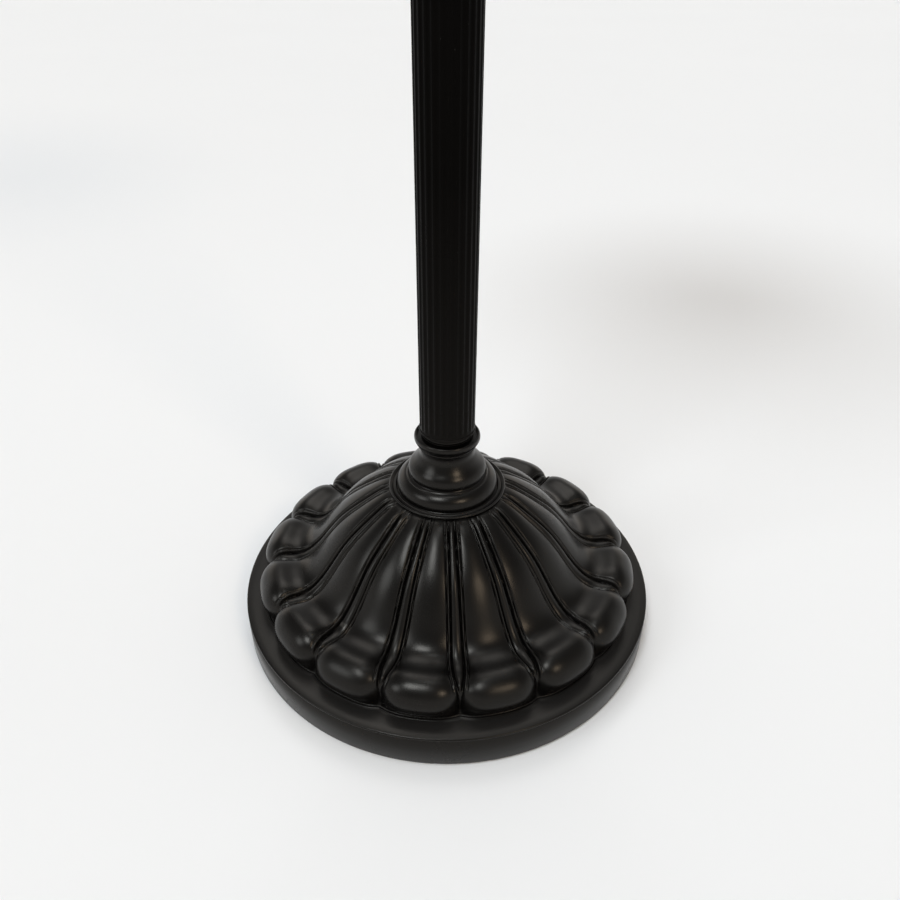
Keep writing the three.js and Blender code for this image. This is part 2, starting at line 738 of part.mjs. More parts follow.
// A hollow lamp, open at the neck that the screw cap closes
function bulbGlass() {
  const centre = glassStart + BULB_LENGTH - BULB_RADIUS;
  const neck = BULB_CAP_RADIUS - 0.5;
  const inside = BULB_RADIUS - BULB_WALL;
  return turned(
    [
      [neck - BULB_WALL, glassStart],
      [neck, glassStart],
      [neck + 1.5, glassStart + 7],
      ...arc(0, centre, BULB_RADIUS, -36, 72, 5),
      [0, centre + BULB_RADIUS],
      [0, centre + inside],
      ...arc(0, centre, inside, 60, -36, 3),
      [neck + 1.5 - BULB_WALL, glassStart + 7],
      [neck - BULB_WALL, glassStart],
    ],
    SMALL_SIDES,
  );
}

const guideMouth = hubCentre - GUIDE_DROP;
const chainTop = guideMouth + CHAIN_TRAVEL;
const chainBottom = chainTop - CHAIN_BEADS * BEAD_PITCH;

function pullChain() {
  const outline = [[0, chainBottom]];
  for (let bead = 0; bead < CHAIN_BEADS; bead++) {
    const start = chainBottom + bead * BEAD_PITCH;
    outline.push([BEAD_WAIST, start], [BEAD_RADIUS, start + BEAD_PITCH / 2]);
  }
  outline.push([BEAD_WAIST, chainTop], [0, chainTop]);
  return turned(outline, CHAIN_SIDES);
}

function chainKnob() {
  const top = chainBottom - CLEARANCE;
  return turned(
    [
      [0, top - KNOB_LENGTH],
      [KNOB_RADIUS - 2.2, top - KNOB_LENGTH + 0.6],
      [KNOB_RADIUS, top - KNOB_LENGTH + 5],
      [KNOB_RADIUS - 1.6, top - KNOB_LENGTH + 10],
      [BEAD_RADIUS + 0.6, top - 2],
      [BEAD_RADIUS, top],
      [0, top],
    ],
    2 * CHAIN_SIDES,
  );
}

for (const [name, side] of [
  ["left", -1],
  ["right", 1],
]) {
  const group = socketGroups[name];
  lamp.add(group);
  const arm = turned(ringOutline(THREAD_BORE, THREAD_RADIUS, ARM_START, ARM_END), SMALL_SIDES);
  add(`socket_arm_${name}`, arm, finish.steel, group);
  add(`socket_cap_${name}`, socketCap(), finish.brass, group);
  add(`socket_shell_${name}`, socketShell(), finish.brass, group);
  add(`socket_core_${name}`, socketCore(), finish.insulator, group);
  add(`bulb_cap_${name}`, bulbCap(), finish.steel, group);
  add(`bulb_glass_${name}`, bulbGlass(), finish.lamp, group);

  const reach = side * CHAIN_REACH;
  const guideOutline = ringOutline(GUIDE_RADIUS - GUIDE_WALL, GUIDE_RADIUS, guideMouth, hubCentre);
  const guide = turned(guideOutline, 2 * CHAIN_SIDES).translate(reach, 0, 0);
  const socketSpace = cylinder(shellOutside + CLEARANCE, 4 * SHELL_LENGTH, SOCKET_SIDES)
    .rotateX(Math.PI / 2)
    .translate(0, 0, shellStart)
    .applyMatrix4(group.matrixWorld);
  add(`chain_guide_${name}`, cut(guide, socketSpace), finish.brass);
  add(`pull_chain_${name}`, pullChain().translate(reach, 0, 0), finish.brass);
  add(`chain_knob_${name}`, chainKnob().translate(reach, 0, 0), finish.brass);
}

// Spider: a ring on three arms round a hub, clamped on the riser
const spiderTop = sleeveTop + SPIDER_THICKNESS;
function spider() {
  const shape = new THREE.Shape().absarc(0, 0, SPIDER_RADIUS, 0, 2 * Math.PI, false);
  shape.holes.push(new THREE.Path().absarc(0, 0, PIPE_HOLE, 0, 2 * Math.PI, true));
  const outer = SPIDER_RADIUS - SPIDER_RING;
  for (let i = 0; i < 3; i++) {
    const start = (i * 2 * Math.PI) / 3;
    const outerPull = Math.asin(SPIDER_ARM / 2 / outer);
    const innerPull = Math.asin(SPIDER_ARM / 2 / SPIDER_HUB);
    const window = new THREE.Path();
    window.absarc(0, 0, outer, start + outerPull, start + (2 * Math.PI) / 3 - outerPull, false);
    window.absarc(0, 0, SPIDER_HUB, start + (2 * Math.PI) / 3 - innerPull, start + innerPull, true);
    window.closePath();
    shape.holes.push(window);
  }
  const geometry = new THREE.ExtrudeGeometry(shape, {
    depth: SPIDER_THICKNESS,
    bevelEnabled: false,
    curveSegments: SMALL_SIDES / 2,
  });
  return geometry.translate(0, 0, sleeveTop);
}
add("shade_spider", spider(), finish.brass);

// Shade: crown ring, six rows of glass and the leading that stands on their seams
const crownBottom = spiderTop;
const crownTop = crownBottom + CROWN_THICKNESS;
const crown = turned(ringOutline(CROWN_INNER, CROWN_OUTER, crownBottom, crownTop), MEDIUM_SIDES);
add("crown_ring", crown, finish.brass);

const seams = SHADE_SEAMS.map(([radius, drop]) => new THREE.Vector2(radius, crownBottom - drop));
seams.reverse();

// The point at `along` of the seam-to-seam line from `from` to `to`, `out` millimetres off its outer face
function offSeam(from, to, along, out) {
  const way = to.clone().sub(from).normalize();
  const outward = new THREE.Vector2(way.y, -way.x);
  return from.clone().addScaledVector(way, along).addScaledVector(outward, out);
}

function glassRow(from, to) {
  const length = from.distanceTo(to);
  const corners = [
    [SEAM_GAP / 2, -GLASS_THICKNESS],
    [SEAM_GAP / 2, 0],
    [length - SEAM_GAP / 2, 0],
    [length - SEAM_GAP / 2, -GLASS_THICKNESS],
    [SEAM_GAP / 2, -GLASS_THICKNESS],
  ].map(([along, out]) => offSeam(from, to, along, out));
  return turned(
    corners.map((corner) => [corner.x, corner.y]),
    SHADE_GORES,
  );
}
const rowNames = ["skirt", "belt", "lower", "middle", "upper", "crown"];
const rowFinishes = [finish.green, finish.ruby, finish.amber, finish.amber, finish.cream, finish.cream];
rowNames.forEach((name, row) => {
  add(`${name}_glass`, glassRow(seams[row], seams[row + 1]), rowFinishes[row]);
});

// Leading: strips over every seam and up every gore's edge, in one net
function leading() {
  const crownOverlap = CROWN_OUTER + 2 * CLEARANCE - seams[seams.length - 1].x;
  const stations = [];
  const last = seams.length - 1;
  for (let seam = 0; seam <= last; seam++) {
    const under = seam > 0 && [seams[seam - 1], seams[seam]];
    const over = seam < last && [seams[seam], seams[seam + 1]];
    const reach = under && over ? CAME_WIDTH / 2 : CAME_WIDTH;
    if (under) {
      const length = under[0].distanceTo(under[1]) - (over ? 0 : crownOverlap);
      stations.push({ line: under, along: length - reach });
      if (!over) stations.push({ line: under, along: length });
    }
    if (over) {
      if (!under) stations.push({ line: over, along: 0 });
      stations.push({ line: over, along: reach });
    }
  }
  const columns = 2 * SHADE_GORES;
  const halfGore = Math.PI / SHADE_GORES;
  const positions = [];
  for (const out of [CAME_LIFT, CAME_LIFT + CAME_THICKNESS]) {
    for (const { line, along } of stations) {
      const point = offSeam(line[0], line[1], along, out);
      for (let column = 0; column < columns; column++) {
        const edge = 2 * halfGore * Math.floor(column / 2);
        const swing = (column % 2 ? 1 : -1) * (CAME_WIDTH / 2 / point.x);
        const radius = (point.x * Math.cos(halfGore)) / Math.cos(halfGore - Math.abs(swing));
        positions.push(radius * Math.sin(edge + swing), -radius * Math.cos(edge + swing), point.y);
      }
    }
  }
  // Each cell of the net is a small slab: its four corners on the inner face, then on the outer face.
  const layer = stations.length * columns;
  const at = (face, station, column) => face * layer + station * columns + (column % columns);
  const index = [];
  const quad = (a, b, c, d) => index.push(a, b, c, a, c, d);
  const filled = (station, column) =>
    station >= 0 && station < stations.length - 1 && (station % 2 === 0 || column % 2 === 0);
  for (let station = 0; station < stations.length - 1; station++) {
    for (let column = 0; column < columns; column++) {
      if (!filled(station, column)) continue;
      const corners = [
        [station, column],
        [station, column + 1],
        [station + 1, column + 1],
        [station + 1, column],
      ];
      const [a, b, c, d] = corners.map(([row, edge]) => at(0, row, edge));
      const [e, f, g, h] = corners.map(([row, edge]) => at(1, row, edge));
      quad(e, f, g, h);
      quad(a, d, c, b);
      if (!filled(station - 1, column)) quad(a, b, f, e);
      if (!filled(station + 1, column)) quad(d, h, g, c);
      if (!filled(station, column + columns - 1)) quad(a, e, h, d);
      if (!filled(station, column + 1)) quad(b, c, g, f);
    }
  }
  const geometry = new THREE.BufferGeometry();
  geometry.setAttribute("position", new THREE.Float32BufferAttribute(positions, 3));
  geometry.setIndex(index);
  geometry.computeVertexNormals();
  return geometry;
}
add("shade_leading", leading(), finish.lead);

// Vent cap over the crown ring, and the finial that clamps the stack on the riser
const ventTop = crownTop + VENT_CAP_HEIGHT;
add(
  "vent_cap",
  turned(
    [
      [PIPE_HOLE, ventTop - VENT_CAP_WALL],
      [12, ventTop - VENT_CAP_WALL],
      [27, ventTop - 5 - VENT_CAP_WALL],
      [VENT_CAP_RADIUS - 5, crownTop + 5],
      [VENT_CAP_RADIUS - VENT_CAP_WALL, crownTop],
      [VENT_CAP_RADIUS, crownTop],
      [VENT_CAP_RADIUS - 3.6, crownTop + 6],
      [28, ventTop - 5],
      [12, ventTop],
      [PIPE_HOLE, ventTop],
      [PIPE_HOLE, ventTop - VENT_CAP_WALL],
    ],
    MEDIUM_SIDES,
  ),
  finish.bronze,
);

const riserTop = ventTop + FINIAL_THREAD - 1;
pipe("riser_pipe", poleTop - plugReach, riserTop);

const finialTop = ventTop + FINIAL_HEIGHT;
add(
  "finial",
  turned(
    [
      [PIPE_HOLE, ventTop],
      [FINIAL_RADIUS - 1, ventTop],
      [FINIAL_RADIUS - 1, ventTop + 2],
      [FINIAL_RADIUS - 4, ventTop + 4.5],
      [FINIAL_RADIUS - 4, ventTop + 6],
      ...arc(FINIAL_RADIUS - 8, ventTop + 16, 8, -50, 60, 4),
      [4.2, finialTop - 15],
      [3, finialTop - 11],
      [5, finialTop - 6.5],
      [3.4, finialTop - 2],
      [0, finialTop],
      [0, ventTop + FINIAL_THREAD],
      [PIPE_HOLE, ventTop + FINIAL_THREAD],
      [PIPE_HOLE, ventTop],
    ],
    SOCKET_SIDES,
  ),
  finish.bronze,
);

export default lamp;
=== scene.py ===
# The looks of a stained glass floor lamp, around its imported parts. Metres, +Z up, the origin on the floor.
import math

import bmesh
import bpy
import numpy as np
from mathutils import Matrix, Vector


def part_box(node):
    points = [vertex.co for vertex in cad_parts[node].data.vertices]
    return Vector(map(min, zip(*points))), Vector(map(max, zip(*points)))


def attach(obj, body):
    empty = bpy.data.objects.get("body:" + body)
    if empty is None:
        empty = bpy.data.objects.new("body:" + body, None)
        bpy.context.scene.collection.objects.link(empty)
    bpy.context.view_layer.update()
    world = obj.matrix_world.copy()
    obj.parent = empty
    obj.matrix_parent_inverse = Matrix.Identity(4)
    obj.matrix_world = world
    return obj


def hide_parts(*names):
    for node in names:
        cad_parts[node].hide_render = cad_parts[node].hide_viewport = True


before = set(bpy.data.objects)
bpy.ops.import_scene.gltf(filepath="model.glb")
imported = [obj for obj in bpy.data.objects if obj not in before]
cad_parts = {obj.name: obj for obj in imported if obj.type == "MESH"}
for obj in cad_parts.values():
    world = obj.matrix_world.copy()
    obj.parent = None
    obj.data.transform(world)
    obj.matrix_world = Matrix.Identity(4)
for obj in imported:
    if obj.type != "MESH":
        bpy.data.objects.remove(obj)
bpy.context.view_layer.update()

MM = 0.001

# The photograph's camera: its height and distance from the pole, and how far it turns, tips and rolls
CAMERA_HEIGHT = 433.7 * MM
CAMERA_DISTANCE = 438.0 * MM
CAMERA_SIDE = math.radians(3.7)
CAMERA_TURN = math.radians(3.7 + 0.25)
CAMERA_PITCH = math.radians(34.23)
CAMERA_ROLL = math.radians(0.245)
CAMERA_LENS = 31.36
SENSOR = 36.0


def make_camera():
    data = bpy.data.cameras.new("photo_camera")
    data.lens = CAMERA_LENS
    data.sensor_width = SENSOR
    data.clip_start = 0.01
    data.clip_end = 100
    camera = bpy.data.objects.new("photo_camera", data)
    level = math.cos(CAMERA_PITCH)
    ahead, beside = math.cos(CAMERA_TURN), math.sin(CAMERA_TURN)
    forward = Vector((beside * level, ahead * level, -math.sin(CAMERA_PITCH)))
    right = Vector((ahead, -beside, 0))
    up = right.cross(forward)
    rolled_right = right * math.cos(CAMERA_ROLL) + up * math.sin(CAMERA_ROLL)
    rolled_up = up * math.cos(CAMERA_ROLL) - right * math.sin(CAMERA_ROLL)
    turn = Matrix((rolled_right, rolled_up, -forward)).transposed().to_4x4()
    toward = CAMERA_DISTANCE * Vector((math.sin(CAMERA_SIDE), math.cos(CAMERA_SIDE), 0))
    camera.matrix_world = Matrix.Translation(Vector((0, 0, CAMERA_HEIGHT)) - toward) @ turn
    bpy.context.scene.collection.objects.link(camera)
    bpy.context.scene.camera = camera


make_camera()


# Node materials
class Paint:
    """A principled material whose colour, roughness and bump are procedural, in object space."""

    def __init__(self, name):
        self.material = bpy.data.materials.new(name)
        self.material.use_nodes = True
        self.tree = self.material.node_tree
        self.shader = self.tree.nodes["Principled BSDF"]
        self.place = self.tree.nodes.new("ShaderNodeTexCoord").outputs["Object"]

    def put(self, value, socket):
        """Links an output to a socket, or writes a plain value into it."""
        if hasattr(value, "is_linked"):
            self.tree.links.new(value, socket)
        elif socket.type == "RGBA":
            socket.default_value = (*value, 1)
        else:
            socket.default_value = value

    def fill(self, node, **values):
        for name, value in values.items():
            self.put(value, node.inputs[name.replace("_", " ")])
        return node

    def node(self, kind, **values):
        return self.fill(self.tree.nodes.new(f"ShaderNode{kind}"), **values)

    def set(self, **values):
        self.fill(self.shader, **values)

    def stretched(self, scale):
        return self.node("Mapping", Vector=self.place, Scale=scale).outputs["Vector"]

    def noise(self, scale, detail=3.0, roughness=0.5, distortion=0.0, vector=None):
        node = self.node("TexNoise", Vector=vector or self.place, Scale=scale)
        self.fill(node, Detail=detail, Roughness=roughness, Distortion=distortion)
        return node.outputs["Fac"]

    def cells(self, scale):
        return self.node("TexVoronoi", Vector=self.place, Scale=scale).outputs["Distance"]

    def geometry(self, output):
        return self.node("NewGeometry").outputs[output]

    def height_of(self, output):
        """The Z share of a texture coordinate, such as how far a surface faces up."""
        return self.node("SeparateXYZ", Vector=self.place.node.outputs[output]).outputs["Z"]

    def ramp(self, value, *stops):
        """A ramp over `value` through stops of (position, colour)."""
        node = self.node("ValToRGB", Fac=value)
        elements = node.color_ramp.elements
        while len(elements) < len(stops):
            elements.new(0.5)
        for element, (position, colour) in zip(elements, stops):
            element.position = position
            element.color = (*colour, 1)
        return node.outputs["Color"]

    def between(self, value, low, high, from_low=0.3, from_high=0.7):
        """The value, carried from its own range to the one between `low` and `high`."""
        node = self.node("MapRange", Value=value, From_Min=from_low, From_Max=from_high)
        return self.fill(node, To_Min=low, To_Max=high).outputs["Result"]

    def maths(self, operation, *values):
        node = self.node("Math")
        node.operation = operation
        for value, socket in zip(values, node.inputs):
            self.put(value, socket)
        return node.outputs["Value"]

    def mixed(self, share, first, second, blend="MIX"):
        node = self.node("Mix")
        node.data_type = "RGBA"
        node.blend_type = blend
        sockets = [s for s in node.inputs if s.type == "RGBA"]
        self.put(share, node.inputs["Factor"])
        self.put(first, sockets[0])
        self.put(second, sockets[1])
        return next(s for s in node.outputs if s.type == "RGBA")

    def bump(self, height, depth):
        """A bump as deep as `depth`, in metres, on top of the bumps made before it."""
        node = self.node("Bump", Strength=1.0, Distance=depth, Height=height)
        previous = self.shader.inputs["Normal"].links
        if previous:
            self.put(previous[0].from_socket, node.inputs["Normal"])
        self.set(Normal=node.outputs["Normal"])


ON, OFF = (1, 1, 1), (0, 0, 0)

# The bronze paint: its colours, the heights in metres between which a painted reflection fades up the pole,
# how far a face points up to be sloping, nearly level or level, and the pointiness over which ridges are
# rubbed and given a painted highlight
BRONZE_SHADE = (0.0014, 0.0012, 0.0011)
POLE_PAINTED_REFLECTION = (0.0070, 0.0064, 0.0058)
DUST_AND_SHEEN_FILM = (0.0115, 0.0108, 0.0102)
DUST_SPECK = (0.16, 0.15, 0.14)
DUST_ROUGHNESS = 0.05
RUBBED_PAINT_AND_HIGHLIGHT = (0.050, 0.047, 0.042)
WARM_SHEEN = (1, 0.94, 0.86)
REFLECTION_FROM, REFLECTION_TO = 0.13, 0.32
SLOPING, NEARLY_LEVEL, LEVEL = 0.94, 0.97, 1.0
RIDGE_FROM, RIDGE_TO = 0.53, 0.68


def bronze_paint(name, roughness, gloss, shade, low_reflection):
    """Near-black paint, cloudy and wavy, with rubbed ridges and dusty tops that also carry a painted
    highlight and sheen, and a painted reflection low on the pole.
    """
    paint = Paint(name)
    cloud = paint.noise(28, detail=4, roughness=0.6)
    base = paint.ramp(cloud, (0.3, [0.72 * c for c in shade]), (0.75, [1.25 * c for c in shade]))
    # Painted reflection: the colour turns lighter low on the pole and fades out between two heights
    low = paint.ramp(paint.height_of("Object"), (REFLECTION_FROM, ON), (REFLECTION_TO, OFF))
    base = paint.mixed(low, base, low_reflection)
    # Dust, and a painted sheen: a pale film lightens what faces up
    dust_and_sheen = paint.between(paint.height_of("Normal"), 0, 1, SLOPING, LEVEL)
    base = paint.mixed(dust_and_sheen, base, DUST_AND_SHEEN_FILM)
    # Wear and a painted highlight: ridges are lightened, except where they lie nearly level
    worn_and_lit = paint.ramp(paint.geometry("Pointiness"), (RIDGE_FROM, OFF), (RIDGE_TO, ON))
    sloping = paint.between(paint.height_of("Normal"), 1, 0, SLOPING, NEARLY_LEVEL)
    base = paint.mixed(paint.maths("MULTIPLY", worn_and_lit, sloping), base, RUBBED_PAINT_AND_HIGHLIGHT)
    speck = paint.ramp(paint.cells(210), (0.0, ON), (0.028, OFF))
    sparse = paint.ramp(paint.noise(31, detail=0), (0.62, OFF), (0.66, ON))
    dust = paint.mixed(1.0, speck, sparse, blend="MULTIPLY")
    paint.set(Base_Color=paint.mixed(dust, base, DUST_SPECK))
    smear = paint.noise(9, detail=5, roughness=0.65, distortion=0.4)
    smeared = paint.between(smear, roughness - 0.05, roughness + 0.07)
    paint.set(Roughness=paint.maths("MULTIPLY_ADD", dust_and_sheen, DUST_ROUGHNESS, smeared))
    paint.set(Metallic=0.0, Specular_IOR_Level=gloss, Specular_Tint=WARM_SHEEN)
    paint.bump(paint.noise(60, detail=2), 0.00007)
    paint.bump(paint.noise(700, detail=2), 0.000012)
    return paint.material


def metal(name, dark, light, roughness, scratch=(60, 60, 4), metallic=1.0):
    """Worn metal: stained colour and fine scratches that run along one way."""
    paint = Paint(name)
    stain = paint.noise(45, detail=6, roughness=0.65)
    paint.set(Base_Color=paint.ramp(stain, (0.3, dark), (0.72, light)), Metallic=metallic)
    lines = paint.noise(60, detail=4, vector=paint.stretched(scratch))
    paint.set(Roughness=paint.between(lines, roughness - 0.08, roughness + 0.1))
    paint.bump(lines, 0.00003)
    return paint.material


def moulded(name, dark, light, roughness):
    paint = Paint(name)
    paint.set(Base_Color=paint.ramp(paint.noise(40, detail=5), (0.3, dark), (0.7, light)))
    paint.set(Roughness=paint.between(paint.noise(90), roughness - 0.06, roughness + 0.06))
    paint.bump(paint.noise(520, detail=2), 0.00004)
    return paint.material


def felt():
    paint = Paint("pressed_felt")
    fibres = paint.noise(900, detail=6, roughness=0.7)
    paint.set(Base_Color=paint.ramp(fibres, (0.35, (0.006, 0.006, 0.005)), (0.7, (0.03, 0.028, 0.026))))
    paint.set(Roughness=paint.between(fibres, 0.88, 1.0), Sheen_Weight=0.2)
    paint.bump(fibres, 0.0004)
    return paint.material


def opal_glass(name, deep, middle, pale):
    """Opalescent sheet glass: streaks that swirl along the pane, ripples, and a tint for each pane."""
    paint = Paint(name)
    streak = paint.noise(16, detail=4, distortion=1.6, vector=paint.stretched((1, 1, 0.35)))
    body = paint.ramp(streak, (0.28, deep), (0.5, middle), (0.74, pale))
    tint = paint.ramp(paint.geometry("Random Per Island"), (0, (0.78, 0.78, 0.78)), (1, (1.15, 1.12, 1.05)))
    paint.set(Base_Color=paint.mixed(1.0, body, tint, blend="MULTIPLY"))
    ripple = paint.noise(55, detail=2, distortion=0.8)
    paint.set(Roughness=paint.between(ripple, 0.24, 0.36))
    paint.set(Transmission_Weight=0.22, IOR=1.5, Coat_Weight=0.2, Coat_Roughness=0.16)
    paint.bump(ripple, 0.0006)
    paint.bump(paint.noise(260, detail=2), 0.00008)
    return paint.material


def solder():
    """Lead came and solder under a dark patina: lumpy, with brighter metal on the high spots."""
    paint = Paint("patina_solder")
    lumps = paint.noise(170, detail=4)
    paint.set(Base_Color=paint.ramp(lumps, (0.35, (0.012, 0.011, 0.01)), (0.75, (0.085, 0.075, 0.062))))
    paint.set(Roughness=paint.between(lumps, 0.32, 0.55), Metallic=0.85)
    paint.bump(lumps, 0.0003)
    return paint.material


def lamp_glass():
    paint = Paint("frosted_lamp_glass")
    frost = paint.ramp(paint.noise(24), (0.3, (0.80, 0.78, 0.73)), (0.7, (0.90, 0.89, 0.86)))
    paint.set(Base_Color=frost, Roughness=paint.between(paint.noise(120), 0.24, 0.36))
    paint.set(Subsurface_Weight=0.15, Transmission_Weight=0.1)
    paint.bump(paint.noise(800, detail=1), 0.00001)
    return paint.material


MATERIALS = {
    "cast": bronze_paint("cast_bronze_paint", 0.28, 0.25, BRONZE_SHADE, BRONZE_SHADE),
    "tube": bronze_paint("tube_bronze_paint", 0.28, 0.03, BRONZE_SHADE, POLE_PAINTED_REFLECTION),
    "iron": metal("rough_iron", (0.03, 0.028, 0.026), (0.09, 0.08, 0.07), 0.7, (1, 1, 1), 0.6),
    "steel": metal("plated_steel", (0.30, 0.30, 0.29), (0.46, 0.46, 0.44), 0.35),
    "brass": metal("aged_brass", (0.16, 0.10, 0.035), (0.48, 0.32, 0.12), 0.33),
    "felt": felt(),
    "rubber": moulded("black_rubber", (0.008, 0.008, 0.008), (0.022, 0.021, 0.02), 0.62),
    "insulator": moulded("brown_insulator", (0.012, 0.010, 0.009), (0.035, 0.028, 0.022), 0.4),
    "lamp_glass": lamp_glass(),
    "lead": solder(),
    "amber": opal_glass("amber_glass", (0.50, 0.20, 0.03), (0.72, 0.38, 0.10), (0.86, 0.62, 0.30)),
    "cream": opal_glass("cream_glass", (0.66, 0.46, 0.20), (0.80, 0.66, 0.40), (0.90, 0.82, 0.62)),
    "green": opal_glass("green_glass", (0.02, 0.09, 0.03), (0.06, 0.20, 0.07), (0.22, 0.38, 0.16)),
    "ruby": opal_glass("ruby_glass", (0.16, 0.01, 0.01), (0.34, 0.03, 0.02), (0.52, 0.10, 0.05)),
}

# Making meshes, in millimetres. A rounding takes up no more than its share of a side, and it leaves out
# corners that hardly turn and points that fall together.
SHARE_OF_SIDE = 0.45
LEAST_TURN = 0.05
LEAST_LENGTH = 1e-6
AXIS_RADIUS = 1e-5


def spline(points, count):
    """`count` points along a smooth curve through the points, at even steps of their index."""
    known = np.array(points, float)
    last = len(known) - 1
    system = np.eye(last + 1)
    pulls = np.zeros_like(known)
    for i in range(1, last):
        system[i, i - 1 : i + 2] = (1, 4, 1)
        pulls[i] = 6 * (known[i - 1] - 2 * known[i] + known[i + 1])
    bend = np.linalg.solve(system, pulls)
    at = np.linspace(0, last, count)
    left = np.minimum(at.astype(int), last - 1)
    b = (at - left)[:, None]
    a = 1 - b
    curve = a * known[left] + b * known[left + 1]
    return curve + ((a**3 - a) * bend[left] + (b**3 - b) * bend[left + 1]) / 6


def smooth(points, per_step=4):
    """A stretch of an outline that runs smoothly through the points, with no rounding of its own."""
    curve = spline(points, (len(points) - 1) * per_step + 1)
    return [(r, z, 0.0) for r, z in curve]


def rounded(outline, fillet=0.4, steps=4):
    """The closed outline with each corner rounded. A point may carry a rounding of its own."""
    result = []
    count = len(outline)
    for i, point in enumerate(outline):
        here = np.array(point[:2], float)
        size = point[2] if len(point) > 2 else fillet
        back = np.array(outline[i - 1][:2], float) - here
        ahead = np.array(outline[(i + 1) % count][:2], float) - here
        lengths = np.linalg.norm(back), np.linalg.norm(ahead)
        if size <= 0 or here[0] <= 0 or min(lengths) < LEAST_LENGTH:
            result.append(here)
            continue
        back, ahead = back / lengths[0], ahead / lengths[1]
        turn = math.acos(max(-1.0, min(1.0, float(-back @ ahead))))
        if turn < LEAST_TURN:
            result.append(here)
            continue
        reach = min(size * math.tan(turn / 2), SHARE_OF_SIDE * lengths[0], SHARE_OF_SIDE * lengths[1])
        for k in range(steps + 1):
            t = k / steps
            result.append(here + back * reach * (1 - t) ** 2 + ahead * reach * t**2)
    return np.array(result)


def grid_faces(rings, count, loop=False):
    """Quads between rings of `count` points, each ring following the last one up an outer wall."""
    rows = np.arange(rings if loop else rings - 1)[:, None]
    columns = np.arange(count)[None, :]
    beside = (columns + 1) % count
    above = (rows + 1) % rings
    quads = [rows * count + columns, rows * count + beside, above * count + beside, above * count + columns]
    return np.stack(quads, axis=-1).reshape(-1, 4).tolist()


def lathe(outline, segments=112, shape=None):
    """A body of revolution about +Z from a closed outline, anticlockwise in (radius, height)."""
    outline = np.asarray(outline, float)
    turn = np.linspace(0, 2 * math.pi, segments, endpoint=False)[None, :]
    radius = np.repeat(outline[:, :1], segments, axis=1)
    height = np.repeat(outline[:, 1:2], segments, axis=1)
    if shape:
        radius, height = shape(np.repeat(turn, len(outline), axis=0), radius, height)
    points = np.stack([radius * np.sin(turn), -radius * np.cos(turn), height], axis=-1).reshape(-1, 3)
    faces = grid_faces(len(outline), segments, loop=True)
    central = np.hypot(points[:, 0], points[:, 1]) < AXIS_RADIUS
    if central.any():
        # A ring on the axis closes to its first point
        ring = np.arange(len(points)) // segments * segments
        keep = np.where(central, ring, np.arange(len(points)))
        closed = [list(dict.fromkeys(int(keep[v]) for v in face)) for face in faces]
        faces = [face for face in closed if len(face) > 2]
    return points, faces


def join(*parts):
    """Several (points, faces) in one."""
    points, faces, start = [], [], 0
    for some, quads in parts:
        points.append(np.asarray(some, float))
        faces += [[v + start for v in face] for face in quads]
        start += len(some)
    return np.concatenate(points), faces


def moved(part, matrix):
    points = np.asarray(part[0], float)
    turn = np.array(matrix)
    return points @ turn[:3, :3].T + turn[:3, 3], part[1]


def block(corner, far):
    """A box between two corners."""
    x, y, z = zip(corner, far)
    points = [(x[i], y[j], z[k]) for k in (0, 1) for j in (0, 1) for i in (0, 1)]
    return points, [(0, 2, 3, 1), (4, 5, 7, 6), (0, 1, 5, 4), (2, 6, 7, 3), (0, 4, 6, 2), (1, 3, 7, 5)]


def mesh_of(name, part):
    """A smooth mesh in metres, without the points that no face uses."""
    points, faces = part
    mesh = bpy.data.meshes.new(name)
    mesh.from_pydata((np.asarray(points, float) * MM).tolist(), [], faces)
    made = bmesh.new()
    made.from_mesh(mesh)
    bmesh.ops.delete(made, geom=[v for v in made.verts if not v.link_faces], context="VERTS")
    made.to_mesh(mesh)
    made.free()
    mesh.shade_smooth()
    return mesh


def placed(name, data):
    thing = bpy.data.objects.new(name, data)
    bpy.context.scene.collection.objects.link(thing)
    return thing


def piece(name, part, material, body, slot, *nodes, sharp=38):
    """A finished piece on its body, in place of its nodes. Edges over `sharp` degrees stay crisp."""
    mesh = mesh_of(name, part)
    mesh.materials.append(MATERIALS[material])
    mesh.set_sharp_from_angle(angle=math.radians(sharp))
    thing = placed(name, mesh)
    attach(thing, body)
    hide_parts(*nodes)
    return thing


def cut_out(thing, part):
    """Cuts a closed part out of a piece's mesh."""
    cutter = placed("cutter", mesh_of("cutter", part))
    cutting = thing.modifiers.new("cut", "BOOLEAN")
    cutting.object = cutter
    cutting.solver = "EXACT"
    bpy.context.view_layer.update()
    view = bpy.context.evaluated_depsgraph_get()
    done = bpy.data.meshes.new_from_object(thing.evaluated_get(view))
    thing.modifiers.clear()
    thing.data = done
    bpy.data.objects.remove(cutter)


def corners(node):
    """A node's lowest and highest corners, in millimetres."""
    low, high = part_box(node)
    return low / MM, high / MM


def foot_of(node):
    return corners(node)[0].z


def top_of(node):
    return corners(node)[1].z


def raised(outline, height):
    """The outline with its heights counted from `height`."""
    return [(p[0], p[1] + height, *p[2:]) for p in outline]


def on_axis(name, node, outline, material, slot, body="stand", segments=112, fillet=0.4, shape=None):
    """A turned piece on the pole's axis, with heights from its node's foot."""
    part = lathe(rounded(raised(outline, foot_of(node)), fillet), segments, shape)
    piece(name, part, material, body, slot, node)


def smoothstep(value, low, high):
    t = np.clip((value - low) / (high - low), 0, 1)
    return t * t * (3 - 2 * t)


def window(value, start, full, fading, gone):
    """Rises from nought to one between the first two limits and falls back between the last two."""
    return smoothstep(value, start, full) * (1 - smoothstep(value, fading, gone))


def bump_at(distance, centre, spread):
    return np.exp(-(((distance - centre) / spread) ** 2))


